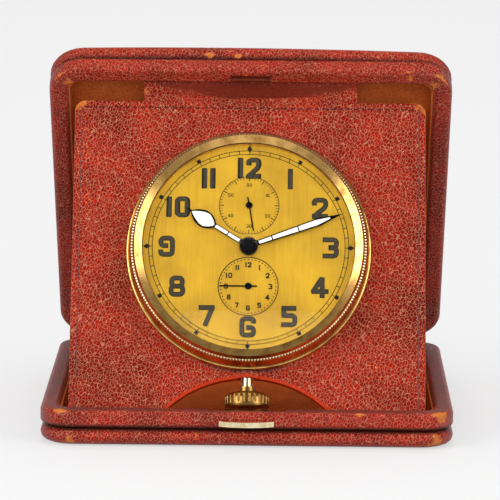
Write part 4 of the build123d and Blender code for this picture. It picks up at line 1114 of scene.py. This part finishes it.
# Outlines across the hand and along it
pear = [
    (-0.28, 9.5),
    (-1.05, 10.4),
    (-1.62, 11.5),
    (-1.5, 12.7),
    (-1.0, 13.9),
    (-0.45, 14.9),
    (0.0, 15.5),
]
pear += [(-x, y) for x, y in pear[-2::-1]]
hour_lume = [pear]
for low, high in ((2.5, 5.55), (5.85, 9.0)):
    hour_lume.append([(-0.36, low), (-0.36, high), (0.36, high), (0.36, low)])
minute_lume = []
for low, high, low_half, high_half in ((2.5, 5.55, 0.34, 0.4), (5.85, 11.95, 0.4, 0.54)):
    minute_lume.append([(-low_half, low), (-high_half, high), (high_half, high), (low_half, low)])
blade = [(-0.55, 12.25), (-0.62, 16.6), (-0.16, 19.8)]
minute_lume.append(blade + [(-x, y) for x, y in reversed(blade)])
lume_height = 0.06
for hand, outlines, angle, top in (
    ("hour_hand", hour_lume, hour_hand_angle, hour_hand_top),
    ("minute_hand", minute_lume, minute_hand_angle, minute_hand_top),
):
    points, faces = [], []
    for outline in outlines:
        prism(points, faces, [Vector(p) for p in outline], top - print_sink, top + lume_height)
    place = on_hand(angle)
    make_piece(hand + "_lume", [place @ p for p in points], faces, lume, hand)

# Domed bosses over the small hands' arbors
boss_low = 3.89
boss_profile = [(0.72, 0.0), (0.72, 0.06), (0.55, 0.12), (0.3, 0.15)]
boss_sides = 24
for hand, centre in (("seconds_hand", seconds_centre), ("alarm_hand", alarm_centre)):
    points = []
    for radius, rise in boss_profile:
        for i in range(boss_sides):
            spot = dial_place(360 * i / boss_sides, radius, centre)
            points.append(clock @ Vector((*spot, boss_low + rise)))
    faces = skin_faces(len(boss_profile), boss_sides)
    faces.append(tuple(range(boss_sides)))
    faces.append(tuple(range(len(points) - boss_sides, len(points))))
    make_piece(hand + "_boss", points, faces, dark_steel, hand)

# Studio: one pale sweep, soft boxes and the photograph's camera
sweep_half = 3.0  # metres
sweep_front = -3.0
wall_y = 3.0
wall_top = 2.6
sweep_bend = 0.8
bend_steps = 8
sweep_line = [(sweep_front, 0.0)]
for step in range(bend_steps + 1):
    turn = pi / 2 * step / bend_steps
    sweep_line.append((wall_y - sweep_bend + sweep_bend * sin(turn), sweep_bend - sweep_bend * cos(turn)))
sweep_line.append((wall_y, wall_top))
sweep_points = [(side * sweep_half, y, z) for y, z in sweep_line for side in (-1, 1)]
sweep_faces = [(2 * i, 2 * i + 1, 2 * i + 3, 2 * i + 2) for i in range(len(sweep_line) - 1)]
sweep_mesh = bpy.data.meshes.new("studio_sweep")
sweep_mesh.from_pydata(sweep_points, [], sweep_faces)
sweep_mesh.shade_smooth()
sweep_mesh.materials.append(paper_white)
sweep = bpy.data.objects.new("studio_sweep", sweep_mesh)
bpy.context.scene.collection.objects.link(sweep)


def soft_box(name, place, aim, size, power, mirrored=True):
    """A square soft light that faces a point, and shows in polished metal or not."""
    light = bpy.data.lights.new(name, "AREA")
    light.size = size
    light.energy = power
    lamp = bpy.data.objects.new(name, light)
    lamp.location = place
    lamp.visible_glossy = mirrored
    lamp.rotation_euler = (Vector(aim) - Vector(place)).to_track_quat("-Z", "Y").to_euler()
    bpy.context.scene.collection.objects.link(lamp)


aim = (0.0, 0.0, 0.04)
soft_box("left_box", place=(-0.75, -0.6, 0.5), aim=aim, size=0.6, power=5.5)
soft_box("right_box", place=(0.8, -0.55, 0.45), aim=aim, size=0.6, power=4.6)
soft_box("top_box", place=(0.0, -0.2, 1.3), aim=aim, size=0.9, power=2.8, mirrored=False)
soft_box("front_box", place=(0.0, -1.3, 0.25), aim=aim, size=0.8, power=8.5, mirrored=False)
# Lights the paper behind the clock
soft_box("far_box", place=(0.0, 1.0, 1.5), aim=(0.0, 1.0, 0.0), size=0.9, power=14.0, mirrored=False)

world = bpy.data.worlds.new("studio_world")
world.use_nodes = True
sky = world.node_tree.nodes["Background"]
sky.inputs["Color"].default_value = paint("#f4f4f4")
sky.inputs["Strength"].default_value = 0.3
bpy.context.scene.world = world
bpy.context.scene.view_settings.view_transform = "Standard"

backward = Vector(
    (
        sin(camera_azimuth) * cos(camera_elevation),
        -cos(camera_azimuth) * cos(camera_elevation),
        sin(camera_elevation),
    )
)
level_right = Vector((cos(camera_azimuth), sin(camera_azimuth), 0.0))
level_up = backward.cross(level_right)
view_right = cos(camera_roll) * level_right + sin(camera_roll) * level_up
view_up = cos(camera_roll) * level_up - sin(camera_roll) * level_right
camera = bpy.data.objects.new("photo_camera", bpy.data.cameras.new("photo_camera"))
camera.data.lens = camera_lens
camera.data.sensor_width = camera_sensor
camera.matrix_world = Matrix.Translation(camera_target + camera_distance * backward) @ Matrix(
    (view_right, view_up, backward)
).transposed().to_4x4()
bpy.context.scene.collection.objects.link(camera)
bpy.context.scene.camera = camera
